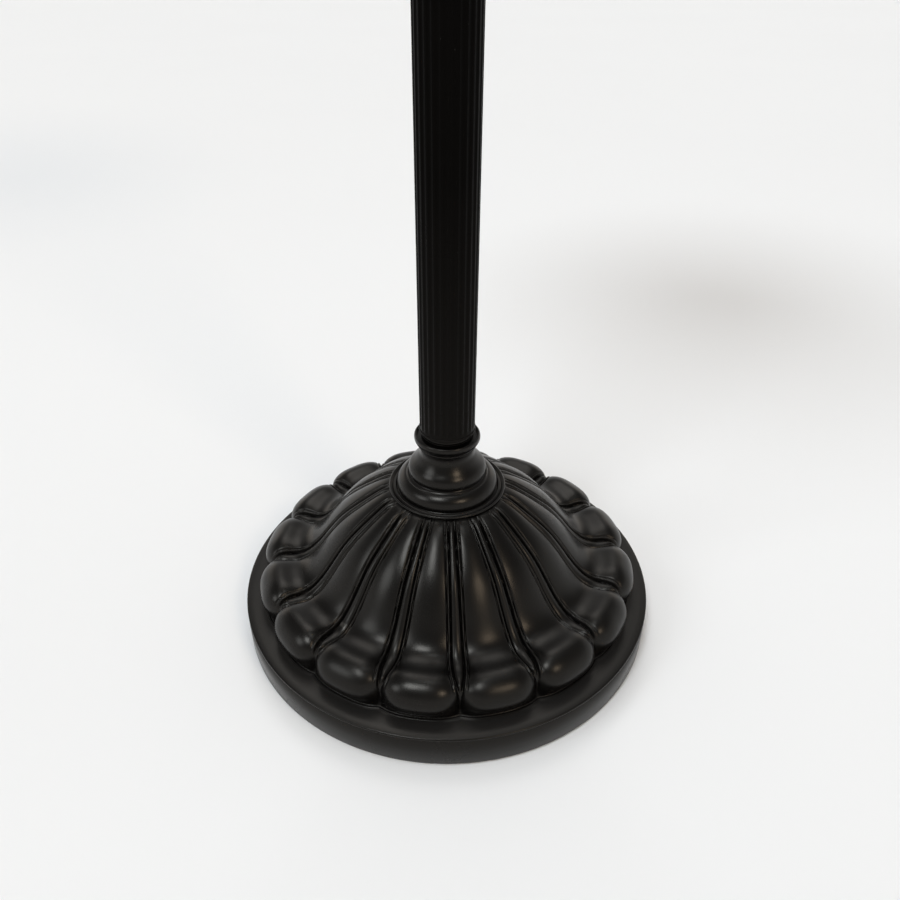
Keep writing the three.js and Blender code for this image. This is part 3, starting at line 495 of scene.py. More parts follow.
# Foot casting: sixteen petals between ribs, over a ledge. Both lines are shares of the way out and up.
BORE = 5.2
PETALS = 16
PETAL_LINE = [
    (0, 1), (0.075, 0.974), (0.17, 0.908), (0.28, 0.807), (0.39, 0.686), (0.495, 0.535), (0.585, 0.394),
    (0.67, 0.31), (0.76, 0.298), (0.843, 0.318), (0.914, 0.292), (0.966, 0.235), (0.994, 0.165),
    (0.993, 0.095), (0.972, 0.04), (0.952, 0.008),
]
RIB_LINE = [
    (0, 1), (0.075, 0.959), (0.17, 0.878), (0.28, 0.777), (0.39, 0.656), (0.495, 0.492), (0.59, 0.351),
    (0.68, 0.266), (0.76, 0.246), (0.835, 0.251), (0.885, 0.221), (0.906, 0.16), (0.912, 0.098),
    (0.916, 0.047), (0.926, 0.011),
]
SEAT_RADIUS = 37.0
LEDGE_WIDTH = 10.5
LEDGE_HEIGHT = 26.0
LEDGE_FLAT = LEDGE_HEIGHT - 0.1
PAD_HEIGHT = 1.5

# Columns of half a petal stand closer together near the rib
RINGS_PER_STATION = 9
RIB_COLUMNS = 26
PETAL_COLUMNS = 13
RIB_ZONE = 8.0
RIB_ZONE_SHARE = 0.7

# Half a rib's width by radius, and the relief beside it as (distance off the rib, height, spread)
RIB_WIDTHS = [(37, 1.0), (46, 1.2), (75, 1.8), (93, 2.3), (107, 2.8), (116, 2.4), (123, 1.2), (127, 0.1)]
RIB_CROWN = 0.7
GROOVE = (1.1, -1.7, 0.48)
EDGE_BEAD = (2.2, 0.7, 0.45)
EDGE_LINE = (3.4, -0.9, 0.5)
FLANK_FULLNESS = 2.1
TIP_FULLNESS = 3.5

# Stations of the petal's line between which its tip fills out, and where the relief comes in and fades
TIP_STATIONS = (6, 9)
GROOVE_STATIONS = (0.2, 1.4, 10.0, 11.8)
LINE_STATIONS = (0.3, 1.6, 9.4, 11.4)

# A thin raised line follows the petals' outline, as (distance off it, height over the ledge)
OUTLINE_BEAD = [(0.2, 0.2), (0.6, 0), (1.1, 0.1), (1.5, 0.42), (1.9, 0.45), (2.3, 0.3), (2.7, 0.04), (4.2, 0)]
LEDGE_EDGE = 5.3
LEDGE_RINGS = 4
RIM_ROUND = 1.1
RIM_DROP = 0.45
RIM_WALL = 11.5
INNER_WALL = [(118.4, 18), (106, 42), (92, 48), (82, 60), (61, 79), (42, 91), (BORE, 96)]


def half_petal(rim, seat):
    """Turns, radii and heights of half a petal, in columns from the rib's middle to the petal's."""
    stations = (len(PETAL_LINE) - 1) * RINGS_PER_STATION + 1
    station = np.linspace(0, len(PETAL_LINE) - 1, stations)[:, None]
    scale = np.array([rim - LEDGE_WIDTH - SEAT_RADIUS, seat - LEDGE_HEIGHT])
    start = np.array([SEAT_RADIUS, LEDGE_HEIGHT])
    petal = spline(PETAL_LINE, stations) * scale + start
    rib = spline(RIB_LINE, stations) * scale + start
    half_arc = (rib[:, 0] * math.pi / PETALS)[:, None]
    zone = np.minimum(RIB_ZONE, RIB_ZONE_SHARE * half_arc)
    near = np.linspace(0, 1, RIB_COLUMNS, endpoint=False)[None, :] * zone
    far = zone + (half_arc - zone) * np.linspace(0, 1, PETAL_COLUMNS)[None, :]
    across = np.concatenate([near, far], axis=1)

    width = np.interp(rib[:, 0], *zip(*RIB_WIDTHS))[:, None]
    inward = np.clip((half_arc - across) / (half_arc - width - 0.4), 0, 1)
    fullness = FLANK_FULLNESS + (TIP_FULLNESS - FLANK_FULLNESS) * smoothstep(station, *TIP_STATIONS)
    share = inward**fullness
    radius = petal[:, :1] + (rib[:, :1] - petal[:, :1]) * share
    height = petal[:, 1:] + (rib[:, 1:] - petal[:, 1:]) * share

    # Relief stands on the surface's own normal
    along = np.gradient(radius, axis=0), np.gradient(height, axis=0)
    length = np.hypot(*along) + 1e-9
    deep = window(station, *GROOVE_STATIONS)
    fine = window(station, *LINE_STATIONS)
    relief = RIB_CROWN * deep * (1 - np.clip(across / (width + 0.2), 0, 1) ** 2)
    for strength, (off_rib, size, spread) in ((deep, GROOVE), (fine, EDGE_BEAD), (fine, EDGE_LINE)):
        relief = relief + size * strength * bump_at(across - width, off_rib, spread)
    radius = radius - relief * along[1] / length
    height = np.maximum(height + relief * along[0] / length, LEDGE_HEIGHT - 0.2)
    return across / half_arc * (math.pi / PETALS), radius, height


def ledge_and_rim(rim, seat, outline):
    """Radii and heights from the petals' outline over the ledge, down the rim and up the inside."""
    rings = [(outline + off, LEDGE_FLAT + rise) for off, rise in OUTLINE_BEAD]
    start = outline + OUTLINE_BEAD[-1][0]
    edge = rim - LEDGE_EDGE
    rings += [(start + (edge - start) * k / LEDGE_RINGS, LEDGE_FLAT) for k in range(1, LEDGE_RINGS + 1)]
    rings.append((rim - 2.4, LEDGE_FLAT - 0.08))
    for bend in np.radians(np.arange(84, -1, -14)):
        lower = RIM_DROP + RIM_ROUND * (1 - math.sin(bend))
        rings.append((rim - RIM_ROUND * (1 - math.cos(bend)), LEDGE_FLAT - lower))
    line = rings[-1][1] - 0.15
    rings += [(rim, line), (rim - 0.4, line - 0.3), (rim - 0.4, line - 0.5), (rim, line - 0.8), (rim, 12)]
    rings += [(rim, PAD_HEIGHT + 0.8), (rim - 0.25, PAD_HEIGHT + 0.25), (rim - 0.8, PAD_HEIGHT)]
    rings += [(rim - RIM_WALL, PAD_HEIGHT), (rim - RIM_WALL, INNER_WALL[0][1]), *INNER_WALL]
    return rings + [(BORE, seat)]


def petal_foot():
    rim = corners("petal_base")[1].x
    seat = top_of("petal_base")
    turn, radius, height = half_petal(rim, seat)

    # Both halves of every petal, all the way round
    arc = 2 * math.pi / PETALS
    back = slice(-2, 0, -1)
    turns, radii, heights = [], [], []
    for k in range(PETALS):
        turns += [k * arc + turn, (k + 1) * arc - turn[:, back]]
        radii += [radius, radius[:, back]]
        heights += [height, height[:, back]]
    turns, radii, heights = (np.concatenate(v, axis=1) for v in (turns, radii, heights))

    rings = ledge_and_rim(rim, seat, radii[-1])
    count = radii.shape[1]
    radii = np.concatenate([radii] + [np.full((1, count), r) for r, _ in rings])
    heights = np.concatenate([heights] + [np.full((1, count), z) for _, z in rings])
    turns = np.concatenate([turns, np.repeat(turns[-1:], len(rings), axis=0)])
    points = np.stack([radii * np.sin(turns), -radii * np.cos(turns), heights], axis=-1)[::-1]
    return points.reshape(-1, 3), grid_faces(len(points), count, loop=True)


piece("petal_foot", petal_foot(), "cast", "stand", "bronze", "petal_base", sharp=70)

# Collar: plate, bulge, vase, waist and lip, with heights from the casting's seat
COLLAR_OUTLINE = [
    (BORE, 0),
    (38.4, 0),
    *smooth([(38.5, 0.35), (39.5, 0.5), (40.1, 0.9), (40.2, 1.3), (40.0, 1.8), (39.4, 2.15), (38.6, 1.9)]),
    *smooth([(37.3, 1.15), (36.6, 1.5), (36.0, 1.62), (35.4, 1.5), (34.8, 1.0)]),
    *smooth([(34.35, 1.3), (34.6, 3.0), (34.0, 6.2), (32.4, 8.9), (30.2, 10.8), (28.7, 11.5)]),
    *smooth([(28.1, 11.55), (27.5, 12.1), (26.9, 12.35), (26.3, 12.2)]),
    *smooth(
        [(26.0, 12.6), (26.4, 14.4), (26.4, 16.4), (25.9, 18.3), (24.9, 20.0), (23.6, 21.5), (22.3, 22.9)]
        + [(21.1, 24.4), (20.0, 26.0), (19.1, 27.5), (18.6, 29.1), (18.5, 31.6), (18.8, 34.2)]
    ),
    *smooth([(18.9, 34.5), (19.6, 34.6), (20.0, 35.1), (19.9, 35.8)]),
    *smooth(
        [(20.3, 36.4), (21.3, 37.7), (22.0, 39.3), (22.1, 40.9), (21.8, 42.1), (21.2, 42.7), (20.7, 42.4)]
    ),
    (20.4, 41.6, 0.3),
    (20.1, 39.9, 0.5),
    (17.1, 39.7, 0.5),
    (17.0, 42.9, 0.1),
    (BORE, 42.9),
]
on_axis("collar_turning", "neck_collar", COLLAR_OUTLINE, "cast", "bronze", segments=192, fillet=0.3)

# Pole: each tube has a flute between two narrow lands, twenty-six times round
POLE_RADIUS = 18.3
FLUTES = 26
SEGMENTS_PER_FLUTE = 16
FLUTE_DEPTH = 0.6
LAND_SHARE = 0.26
PLAIN_BAND = 1.6
FLUTE_RUN_OUT = 1.6
RUN_OUT_HEIGHTS = [PLAIN_BAND + FLUTE_RUN_OUT * share for share in (0.25, 0.5, 0.75, 1)]
TUBE_BORE = 16.2
CHAMFER = 0.25

# The lowest tube's foot is turned down to a neck, under a small flange, and the plug in it is slimmer
NECK_AND_FLANGE = [
    (17.2, 0), (17.2, 1.3), (17.5, 1.5), (18.5, 1.55), (18.8, 1.8), (18.85, 2.3), (18.8, 2.9), (18.6, 3.2),
    (18.3, 3.3),
]
SLIM_PLUG = 16.9
PLUG_FLANGE = 18.6


def fluted(low, high):
    """Flutes between two heights, which run out into a plain band at each end of the tube."""

    def shape(turn, radius, height):
        phase = (turn * FLUTES / (2 * math.pi)) % 1
        inside = np.clip((phase - LAND_SHARE / 2) / (1 - LAND_SHARE), 0, 1)
        start, gone = low + PLAIN_BAND, high - PLAIN_BAND
        depth = FLUTE_DEPTH * np.sin(math.pi * inside) ** 0.8
        depth = depth * window(height, start, start + FLUTE_RUN_OUT, gone - FLUTE_RUN_OUT, gone)
        return np.where(radius > TUBE_BORE + 0.8, radius - depth, radius), height

    return shape


def pole_tube(tube):
    node = f"{tube}_tube"
    low, high = foot_of(node), top_of(node)
    outline = [(TUBE_BORE, low)]
    if tube == "lower":
        outline += [(r, low + z) for r, z in NECK_AND_FLANGE]
        flutes_from = outline[-1][1]
        outline.append((POLE_RADIUS, flutes_from + CHAMFER))
    else:
        flutes_from = low
        outline.append((POLE_RADIUS - CHAMFER, low))
        outline += [(POLE_RADIUS, low + z) for z in (CHAMFER, PLAIN_BAND)]
    outline += [(POLE_RADIUS, flutes_from + z) for z in RUN_OUT_HEIGHTS]
    outline += [(POLE_RADIUS, z) for z in np.linspace(low, high, 8)[1:-1]]
    outline += [(POLE_RADIUS, high - z) for z in reversed([CHAMFER, PLAIN_BAND, *RUN_OUT_HEIGHTS])]
    outline += [(POLE_RADIUS - CHAMFER, high), (TUBE_BORE, high)]
    part = lathe(outline, FLUTES * SEGMENTS_PER_FLUTE, fluted(flutes_from, high))
    piece(f"{tube}_fluted_tube", part, "tube", "stand", "bronze", node)


def pole_plug(tube, end):
    node = f"{tube}_{end}_plug"
    flange = SLIM_PLUG if (tube, end) == ("lower", "foot") else PLUG_FLANGE
    outline = [
        (BORE, 0), (16.8, 0, 0), (16.9, 0.6, 0.2), (flange, 0.7, 0.2), (flange + 0.1, 1.2, 0.2),
        (flange, 1.85, 0.3), (16, 1.99, 0), (15.8, 2, 0), (15.8, 22), (BORE, 22),
    ]
    if end == "foot":
        outline = raised(outline, foot_of(node))
    else:
        outline = [(r, top_of(node) - z, *rounding) for r, z, *rounding in reversed(outline)]
    piece(f"{tube}_{end}_flange", lathe(rounded(outline, 0.3)), "cast", "stand", "bronze", node)


for tube in ("lower", "middle", "upper"):
    pole_tube(tube)
    pole_plug(tube, "foot")
    pole_plug(tube, "head")

# Under the rim: a felt disc, and the bushing for the flex at the back
PAD_RADIUS = 145.5
PAD_TOP = PAD_HEIGHT - 0.01
PAD_OUTLINE = [(0, 0), (PAD_RADIUS, 0), (PAD_RADIUS, PAD_TOP), (0, PAD_TOP)]
on_axis("felt_disc", "felt_pad", PAD_OUTLINE, "felt", "felt", segments=192)
BUSHING_FLANGE = 1.4
BUSHING_OUTLINE = [
    (3, -12.5), (4.4, -12.5), (4.4, 0.2), (6.6, 0.2, 0.2), (6.4, 0.9, 0.4), (5.4, BUSHING_FLANGE, 0.3),
    (3, BUSHING_FLANGE, 0.5),
]
low, high = corners("cord_bushing")
face = Matrix.Translation((0, high.y - BUSHING_FLANGE, (low.z + high.z) / 2))
bushing = moved(lathe(rounded(BUSHING_OUTLINE, 0.3), 64), face @ Matrix.Rotation(-math.pi / 2, 4, "X"))
piece("rubber_bushing", bushing, "rubber", "stand", "rubber", "cord_bushing")

# Rings between the tubes, the cap on the pole, and what stands on it
RING_OUTLINE = [
    (BORE, 0), (18.9, 0, 0.3),
    *smooth([(19.3, 0.4), (19.7, 1.6), (19.3, 2.7)]),
    *smooth([(19.0, 3.4), (20.4, 4.3), (21.6, 5.8), (22.0, 7.5), (21.6, 9.2), (20.4, 10.7), (19.0, 11.6)]),
    *smooth([(19.3, 12.3), (19.7, 13.4), (19.3, 14.6)]),
    (18.9, 15, 0.3), (BORE, 15),
]
CAP_OUTLINE = [
    (BORE, 0), (19.2, 0, 0.3),
    *smooth([(19.6, 0.6), (20.8, 1.8), (21.0, 3.2), (20.5, 4.6), (19.3, 5.4)]),
    *smooth(
        [(17.0, 6.0), (17.5, 7.4), (17.8, 9.2), (17.6, 11.4), (16.7, 14.0), (14.8, 17.2), (12.6, 20.4)]
        + [(10.6, 24.0), (9.2, 28.0), (8.7, 31.0), (8.6, 33.0)]
    ),
    *smooth([(9.0, 33.6), (10.2, 34.6), (10.6, 35.8), (10.3, 37.2)]),
    (10.0, 38, 0.3), (BORE, 38),
]
STEM_OUTLINE = [
    (BORE, 0), (7.6, 0), (7.6, 3), (7.0, 4, 1), (7.0, 14, 1), (7.6, 15), (7.6, 18), (BORE, 18),
]
CUP_OUTLINE = [
    (BORE, 0), (17, 0, 1), (20.2, 1.6, 3), (22, 6, 3), (22, 13, 0.5), (21.5, 13.5, 0.3),
    (21.5, 18.5, 0.3), (22, 19, 0.5), (22, 32), (19.4, 32), (19.4, 2.6, 3), (BORE, 2.6),
]
LID_OUTLINE = [
    (BORE, 0), (22.8, 0), (22.8, 1.6, 0.7), (19, 2.2, 2), (15.6, 4.6, 4), (8.8, 5.2, 0.8), (8.6, 7),
    (BORE, 7),
]
SLEEVE_RADIUS = 6.6
sleeve_length = top_of("riser_sleeve") - foot_of("riser_sleeve")
SLEEVE_OUTLINE = [
    (BORE, 0), (SLEEVE_RADIUS, 0), (SLEEVE_RADIUS, sleeve_length), (BORE, sleeve_length),
]
for name, node, outline in (
    ("joint_ring_1_turning", "joint_ring_1", RING_OUTLINE),
    ("joint_ring_2_turning", "joint_ring_2", RING_OUTLINE),
    ("pole_cap_turning", "pole_cap", CAP_OUTLINE),
    ("hub_stem_turning", "hub_stem", STEM_OUTLINE),
    ("socket_hub_cup", "socket_hub", CUP_OUTLINE),
    ("hub_lid_turning", "hub_lid", LID_OUTLINE),
):
    on_axis(name, node, outline, "cast", "bronze")
on_axis("riser_sleeve_tube", "riser_sleeve", SLEEVE_OUTLINE, "brass", "bronze", segments=64)


# Sockets and lamps, each along its own axis from the hub's centre
def threaded(low, high, pitch, depth, least):
    """Cuts a helical thread into what is outside `least`, between two heights."""

    def shape(turn, radius, height):
        wave = 0.5 + 0.5 * np.cos(turn - 2 * math.pi * height / pitch)
        inside = (height > low) & (height < high) & (radius > least)
        return np.where(inside, radius - depth * wave, radius), height

    return shape


def wall(radius, low, high, step):
    """Points up a straight outer wall, close enough together to hold a thread."""
    return [(radius, z, 0.0) for z in np.arange(low, high, step)]


def ball(radius, centre, start, end, count):
    """Points round a ball on the axis, between two latitudes in degrees."""
    angles = np.radians(np.linspace(start, end, count))
    return [(radius * math.cos(a), centre + radius * math.sin(a), 0) for a in angles]


SOCKET_TILT = 15
ARM_PITCH = 0.95
ARM_OUTLINE = [
    (3.2, 17.2), (4.9, 17.2, 0), *wall(4.9, 17.6, 36.6, ARM_PITCH / 6), (4.9, 37, 0), (3.2, 37),
]
DOME_OUTLINE = [
    (BORE, 29), (8.2, 29, 0.8), *smooth([(9.4, 29.8), (13.2, 31.8), (16.4, 35.4), (17.7, 39.4)]),
    (17.8, 41, 0), (17.8, 43.2, 0.2), (17.5, 43.6, 0.2), (17.5, 44.4, 0.2), (17.8, 44.8, 0.2), (17.8, 48),
    (16.8, 48), (16.8, 40, 3), (9.5, 34, 2), (BORE, 34),
]
SHELL_OUTLINE = [
    (15.5, 43), (16.5, 43, 0.2), (16.5, 52, 0.2), (16.2, 52.6, 0.3), (16.5, 53.2, 0.2), (16.5, 60, 0.3),
    (16.1, 61, 0.5), (16.5, 62, 0.3), (16.5, 84, 0.2), *smooth([(16.5, 86), (17.3, 86.8), (17.35, 87.6)]),
    (16.5, 89, 0.3), (15.5, 89),
]
CORE_OUTLINE = [(0, 43), (15.2, 43), (15.2, 83, 0.5), (13.3, 83, 0.5), (13.3, 60.7), (0, 60.7)]
CAP_PITCH = 3.6
SCREW_OUTLINE = [
    (0, 61.05), (4.5, 61.05, 0.8), (5.4, 62.3, 0.4), (8, 63), (12.2, 65.4, 1), (13, 67.2, 0.8),
    *wall(13, 67.6, 81.4, 0.3), (13, 81.6, 0), (13, 84, 0.3), (0, 84),
]
BULB_CENTRE, BULB_RADIUS, BULB_INSIDE = 123.3, 29.0, 27.6
BULB_OUTLINE = [
    (11.1, 84.3), (12.5, 84.3), *smooth([(12.6, 86), (13.6, 91), (16.6, 97.6), (19.6, 101.6)]),
    *ball(BULB_RADIUS, BULB_CENTRE, -44, 88, 34),
    (0, BULB_CENTRE + BULB_RADIUS), (0, BULB_CENTRE + BULB_INSIDE),
    *ball(BULB_INSIDE, BULB_CENTRE, 88, -44, 22),
    (18.2, 101.9, 2), (15.2, 97.8, 2), (12.2, 91, 2),
]
SOCKET_SPACE = [(0, 20), (16.8, 20), (16.8, 110), (0, 110)]
GUIDE_BORE, GUIDE_RADIUS = 2.3, 3.3
BEADS, BEAD_PITCH, BEAD_RADIUS = 20, 4.8, 1.6
KNOB_OUTLINE = [
    (0, -17), *smooth([(1.6, -17), (3.0, -16.4), (4.4, -14.6), (5.2, -12), (4.9, -9.4), (3.9, -7.0)]),
    *smooth([(2.5, -4.6), (2.3, -3.0), (2.6, -2.2)]), *smooth([(2.3, -1.6), (2.2, -0.8), (1.6, 0)]), (0, 0),
]
hub_centre = (foot_of("socket_hub") + top_of("socket_hub")) / 2


def socket_and_lamp(side, sign):
    tilt = Matrix.Rotation(sign * math.radians(90 - SOCKET_TILT), 4, "Y")
    axis = Matrix.Translation((0, 0, hub_centre)) @ tilt
    lamp, pull = f"lamp_{side}", f"pull_{side}"
    arm_thread = threaded(17.5, 36.7, ARM_PITCH, 0.45, 4)
    cap_thread = threaded(67.8, 81.4, CAP_PITCH, 0.9, 12)
    for name, node, outline, finish, body, segments, shape in (
        ("threaded_arm", "socket_arm", ARM_OUTLINE, "steel", "stand", 32, arm_thread),
        ("socket_dome", "socket_cap", DOME_OUTLINE, "brass", "stand", 96, None),
        ("socket_sleeve", "socket_shell", SHELL_OUTLINE, "brass", "stand", 96, None),
        ("socket_insulator", "socket_core", CORE_OUTLINE, "insulator", "stand", 96, None),
        ("screw_cap", "bulb_cap", SCREW_OUTLINE, "steel", lamp, 64, cap_thread),
        ("lamp_envelope", "bulb_glass", BULB_OUTLINE, "lamp_glass", lamp, 96, None),
    ):
        part = moved(lathe(rounded(outline, 0.3), segments, shape), axis)
        piece(f"{name}_{side}", part, finish, body, finish, f"{node}_{side}")

    # Chain guide, cut to the socket that it comes out of
    low, high = corners(f"chain_guide_{side}")
    reach = (low.x + high.x) / 2
    outline = [(GUIDE_BORE, low.z), (GUIDE_RADIUS - 0.3, low.z, 0.3), (GUIDE_RADIUS, low.z + 0.6, 0.3)]
    outline += [(GUIDE_RADIUS, hub_centre), (GUIDE_BORE, hub_centre)]
    guide = piece(f"chain_mouth_{side}", lathe(rounded(outline, 0.2), 48), "brass", "stand", "brass",
                  f"chain_guide_{side}")
    guide.location.x = reach * MM
    cut_out(guide, moved(lathe(SOCKET_SPACE, 96), axis))
    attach(guide, "stand")

    # Bead chain and its knob
    low, high = corners(f"pull_chain_{side}")
    chain = [(0, low.z, 0)]
    for k in range(BEADS):
        chain += ball(BEAD_RADIUS, low.z + (k + 0.5) * BEAD_PITCH, -72, 72, 9)
    chain.append((0, high.z, 0))
    beside = Matrix.Translation((reach, 0, 0))
    piece(f"bead_chain_{side}", moved(lathe(chain, 20), beside), "brass", pull, "brass", f"pull_chain_{side}")
    hanging = Matrix.Translation((reach, 0, top_of(f"chain_knob_{side}")))
    knob = moved(lathe(rounded(KNOB_OUTLINE, 0.3), 48), hanging)
    piece(f"turned_knob_{side}", knob, "brass", pull, "brass", f"chain_knob_{side}")


socket_and_lamp("left", -1)
socket_and_lamp("right", 1)

# Shade: spider, crown ring, panes, lead and vent cap
SPIDER_RADIUS, SPIDER_RING, SPIDER_HUB, SPIDER_ARM, SPIDER_THICKNESS = 38, 6, 10, 6, 3
SPIDER_ARMS = 3


def flat_ring(inner, outer, thickness, segments):
    outline = [(inner, 0), (outer, 0), (outer, thickness), (inner, thickness)]
    return lathe(rounded(outline, 0.5), segments)


def spider():
    low = (SPIDER_HUB - 2, -SPIDER_ARM / 2, 0.1)
    high = (SPIDER_RADIUS - 2, SPIDER_ARM / 2, SPIDER_THICKNESS - 0.1)
    arms = [
        moved(block(low, high), Matrix.Rotation(2 * math.pi * k / SPIDER_ARMS, 4, "Z"))
        for k in range(SPIDER_ARMS)
    ]
    ring = flat_ring(SPIDER_RADIUS - SPIDER_RING, SPIDER_RADIUS, SPIDER_THICKNESS, 96)
    boss = flat_ring(BORE, SPIDER_HUB, SPIDER_THICKNESS, 64)
    return moved(join(ring, boss, *arms), Matrix.Translation((0, 0, foot_of("shade_spider"))))


piece("spider_plate", spider(), "brass", "stand", "brass", "shade_spider")
CROWN_OUTLINE = [(28, 0), (47, 0, 0.6), (47, 3, 1.2), (28, 3, 0.6)]
on_axis("crown_band", "crown_ring", CROWN_OUTLINE, "brass", "brass", "shade", segments=144)

# Seams are (radius, drop below the crown). Rows are (node, glass, panes across a gore, panes up it).
GORES = 16
SEAMS = [(44, 0.3), (116, 24), (166, 56), (203, 96), (224, 140), (229, 174), (222, 212)]
ROWS = [
    ("crown_glass", "cream", 1, 2),
    ("upper_glass", "cream", 1, 2),
    ("middle_glass", "amber", 2, 1),
    ("lower_glass", "amber", 2, 1),
    ("belt_glass", "ruby", 3, 1),
    ("skirt_glass", "green", 2, 1),
]
GLASS = 3.0
PANE_GAP = 0.7
PANE_SWELL = 0.25
PANE_DEPTH = 0.25
LEAD_PROUD = 1.6
LEAD_SUNK = 0.35
NARROW_LEAD, WIDE_LEAD = 1.9, 2.4
SMALL_JOINT, MIDDLE_JOINT, LARGE_JOINT = 2.9, 3.2, 3.4
crown_height = foot_of("crown_ring")


def seam_corner(seam, gore):
    radius, drop = SEAMS[seam]
    turn = 2 * math.pi * gore / GORES
    return np.array([radius * math.sin(turn), -radius * math.cos(turn), crown_height - drop])


def facet(row, gore):
    """A gore's flat stretch between two seams: its lower left, lower right, upper right and left corners."""
    lower = [seam_corner(row + 1, gore), seam_corner(row + 1, gore + 1)]
    return lower + [seam_corner(row, gore + 1), seam_corner(row, gore)]


def unit(vector):
    return vector / np.linalg.norm(vector)


def facet_normal(quad):
    return unit(np.cross(quad[1] - quad[0], quad[3] - quad[0]))


def inside_quad(quad, across, up):
    lower = quad[0] + (quad[1] - quad[0]) * across
    upper = quad[3] + (quad[2] - quad[3]) * across
    return lower + (upper - lower) * up


def pane(quad, normal, dice, steps=5):
    """A pane of hand-cut glass: slightly swollen, and leaning a little in its lead."""
    tilt = dice.normal(0, 0.12, 3)
    size = steps + 1
    points, faces = [], []
    for depth, bulge in ((0, 1), (-GLASS, -0.6)):
        for j in range(size):
            for i in range(size):
                across, up = i / steps, j / steps
                swell = PANE_SWELL * math.sin(math.pi * across) * math.sin(math.pi * up) * bulge
                lean = tilt[0] * (across - 0.5) + tilt[1] * (up - 0.5)
                points.append(inside_quad(quad, across, up) + normal * (depth + swell + lean - PANE_DEPTH))
    for j in range(steps):
        for i in range(steps):
            a = j * size + i
            outer = (a, a + 1, a + size + 1, a + size)
            faces.append(outer)
            faces.append(tuple(v + size * size for v in outer[::-1]))
    rim = list(range(steps)) + [j * size + steps for j in range(steps)]
    rim += [steps * size + i for i in range(steps, 0, -1)] + [j * size for j in range(steps, 0, -1)]
    for k, a in enumerate(rim):
        b = rim[(k + 1) % len(rim)]
        faces.append((a, a + size * size, b + size * size, b))
    return points, faces


def inset(quad, gap):
    """A quad drawn in by the gap on all sides."""
    result = []
    for k in range(4):
        before, here, after = quad[k - 1], quad[k], quad[(k + 1) % 4]
        ahead, back = unit(after - here), unit(before - here)
        sine = np.linalg.norm(np.cross(ahead, back))
        result.append(here + (ahead + back) * gap / sine)
    return result


def came(start, end, outward, half_width, sides=8):
    """A half-round lead came from one point to another, standing proud of a face."""
    along = unit(end - start)
    side = unit(np.cross(outward, along))
    out = np.cross(along, side)
    size = sides + 1
    points = []
    for place in (start, end):
        for k in range(size):
            angle = math.pi * k / sides
            lift = LEAD_PROUD * math.sin(angle) ** 0.8
            points.append(place + side * half_width * math.cos(angle) + out * (lift - LEAD_SUNK))
    faces = [(k + 1, k, k + size, k + size + 1) for k in range(sides)]
    faces.append((0, size - 1, 2 * size - 1, size))
    faces += [tuple(range(size)), tuple(range(2 * size - 1, size - 1, -1))]
    return points, faces


def solder_joint(place, normal, radius, proud, dice, rings=4, spokes=14):
    """A flattened blob of solder where cames meet."""
    askew = np.array([0.3, 0.2, 1.0])
    side = unit(np.cross(normal, askew))
    other = np.cross(normal, side)
    points, faces = [], []
    wobble = 1 + 0.08 * dice.normal(size=spokes)
    for j in range(rings + 1):
        angle = 0.5 * math.pi * j / rings
        out = normal * (proud * math.sin(angle) - LEAD_SUNK)
        for k in range(spokes):
            turn = 2 * math.pi * k / spokes
            reach = radius * math.cos(angle) * wobble[k] if j < rings else radius * 0.02
            points.append(place + (side * math.cos(turn) + other * math.sin(turn)) * reach + out)
    for j in range(rings):
        for k in range(spokes):
            b = (k + 1) % spokes
            faces.append((j * spokes + k, j * spokes + b, (j + 1) * spokes + b, (j + 1) * spokes + k))
    faces.append(tuple(range(spokes - 1, -1, -1)))
    faces.append(tuple(rings * spokes + k for k in range(spokes)))
    return points, faces


def shade():
    dice = np.random.default_rng(7)
    lead = []
    normals = [[facet_normal(facet(row, gore)) for gore in range(GORES)] for row in range(len(ROWS))]

    def lines(start, end, outward, half_width):
        """A came on the outer face and one on the inner face."""
        inner = -outward * (GLASS + LEAD_SUNK)
        lead.append(came(start, end, outward, half_width))
        lead.append(came(start + inner, end + inner, -outward, half_width))

    def joint(place, outward, radius):
        inner = place - outward * (GLASS + LEAD_SUNK)
        lead.append(solder_joint(place, outward, radius, LEAD_PROUD + 0.05, dice))
        lead.append(solder_joint(inner, -outward, radius, LEAD_PROUD + 0.3, dice))

    def normal_at(seam, gores):
        rows = [row for row in (seam - 1, seam) if 0 <= row < len(ROWS)]
        return unit(sum(normals[row][gore] for row in rows for gore in gores))

    for row, (node, glass, across, up) in enumerate(ROWS):
        panes = []
        for gore in range(GORES):
            quad = facet(row, gore)
            normal = normals[row][gore]
            for j in range(up):
                for i in range(across):
                    cell = [
                        inside_quad(quad, a / across, b / up)
                        for a, b in ((i, j), (i + 1, j), (i + 1, j + 1), (i, j + 1))
                    ]
                    panes.append(pane(inset(cell, PANE_GAP), normal, dice))
            for i in range(1, across):
                ends = inside_quad(quad, i / across, 0), inside_quad(quad, i / across, 1)
                lines(*ends, normal, NARROW_LEAD)
                for end in ends:
                    joint(end, normal, SMALL_JOINT)
            for j in range(1, up):
                lines(inside_quad(quad, 0, j / up), inside_quad(quad, 1, j / up), normal, NARROW_LEAD)
            beside = unit(normal + normals[row][gore - 1])
            lines(quad[0], quad[3], beside, WIDE_LEAD)
            for j in range(1, up):
                joint(inside_quad(quad, 0, j / up), beside, MIDDLE_JOINT)
        name = f"{node.split('_')[0]}_panes"
        piece(name, join(*panes), glass, "shade", f"glass_{glass}", node, sharp=30)

    for seam in range(len(SEAMS)):
        for gore in range(GORES):
            here = seam_corner(seam, gore)
            lines(here, seam_corner(seam, gore + 1), normal_at(seam, [gore]), WIDE_LEAD)
            joint(here, normal_at(seam, [gore - 1, gore]), LARGE_JOINT)
    piece("lead_net", join(*lead), "lead", "shade", "leading", "shade_leading", sharp=50)


shade()

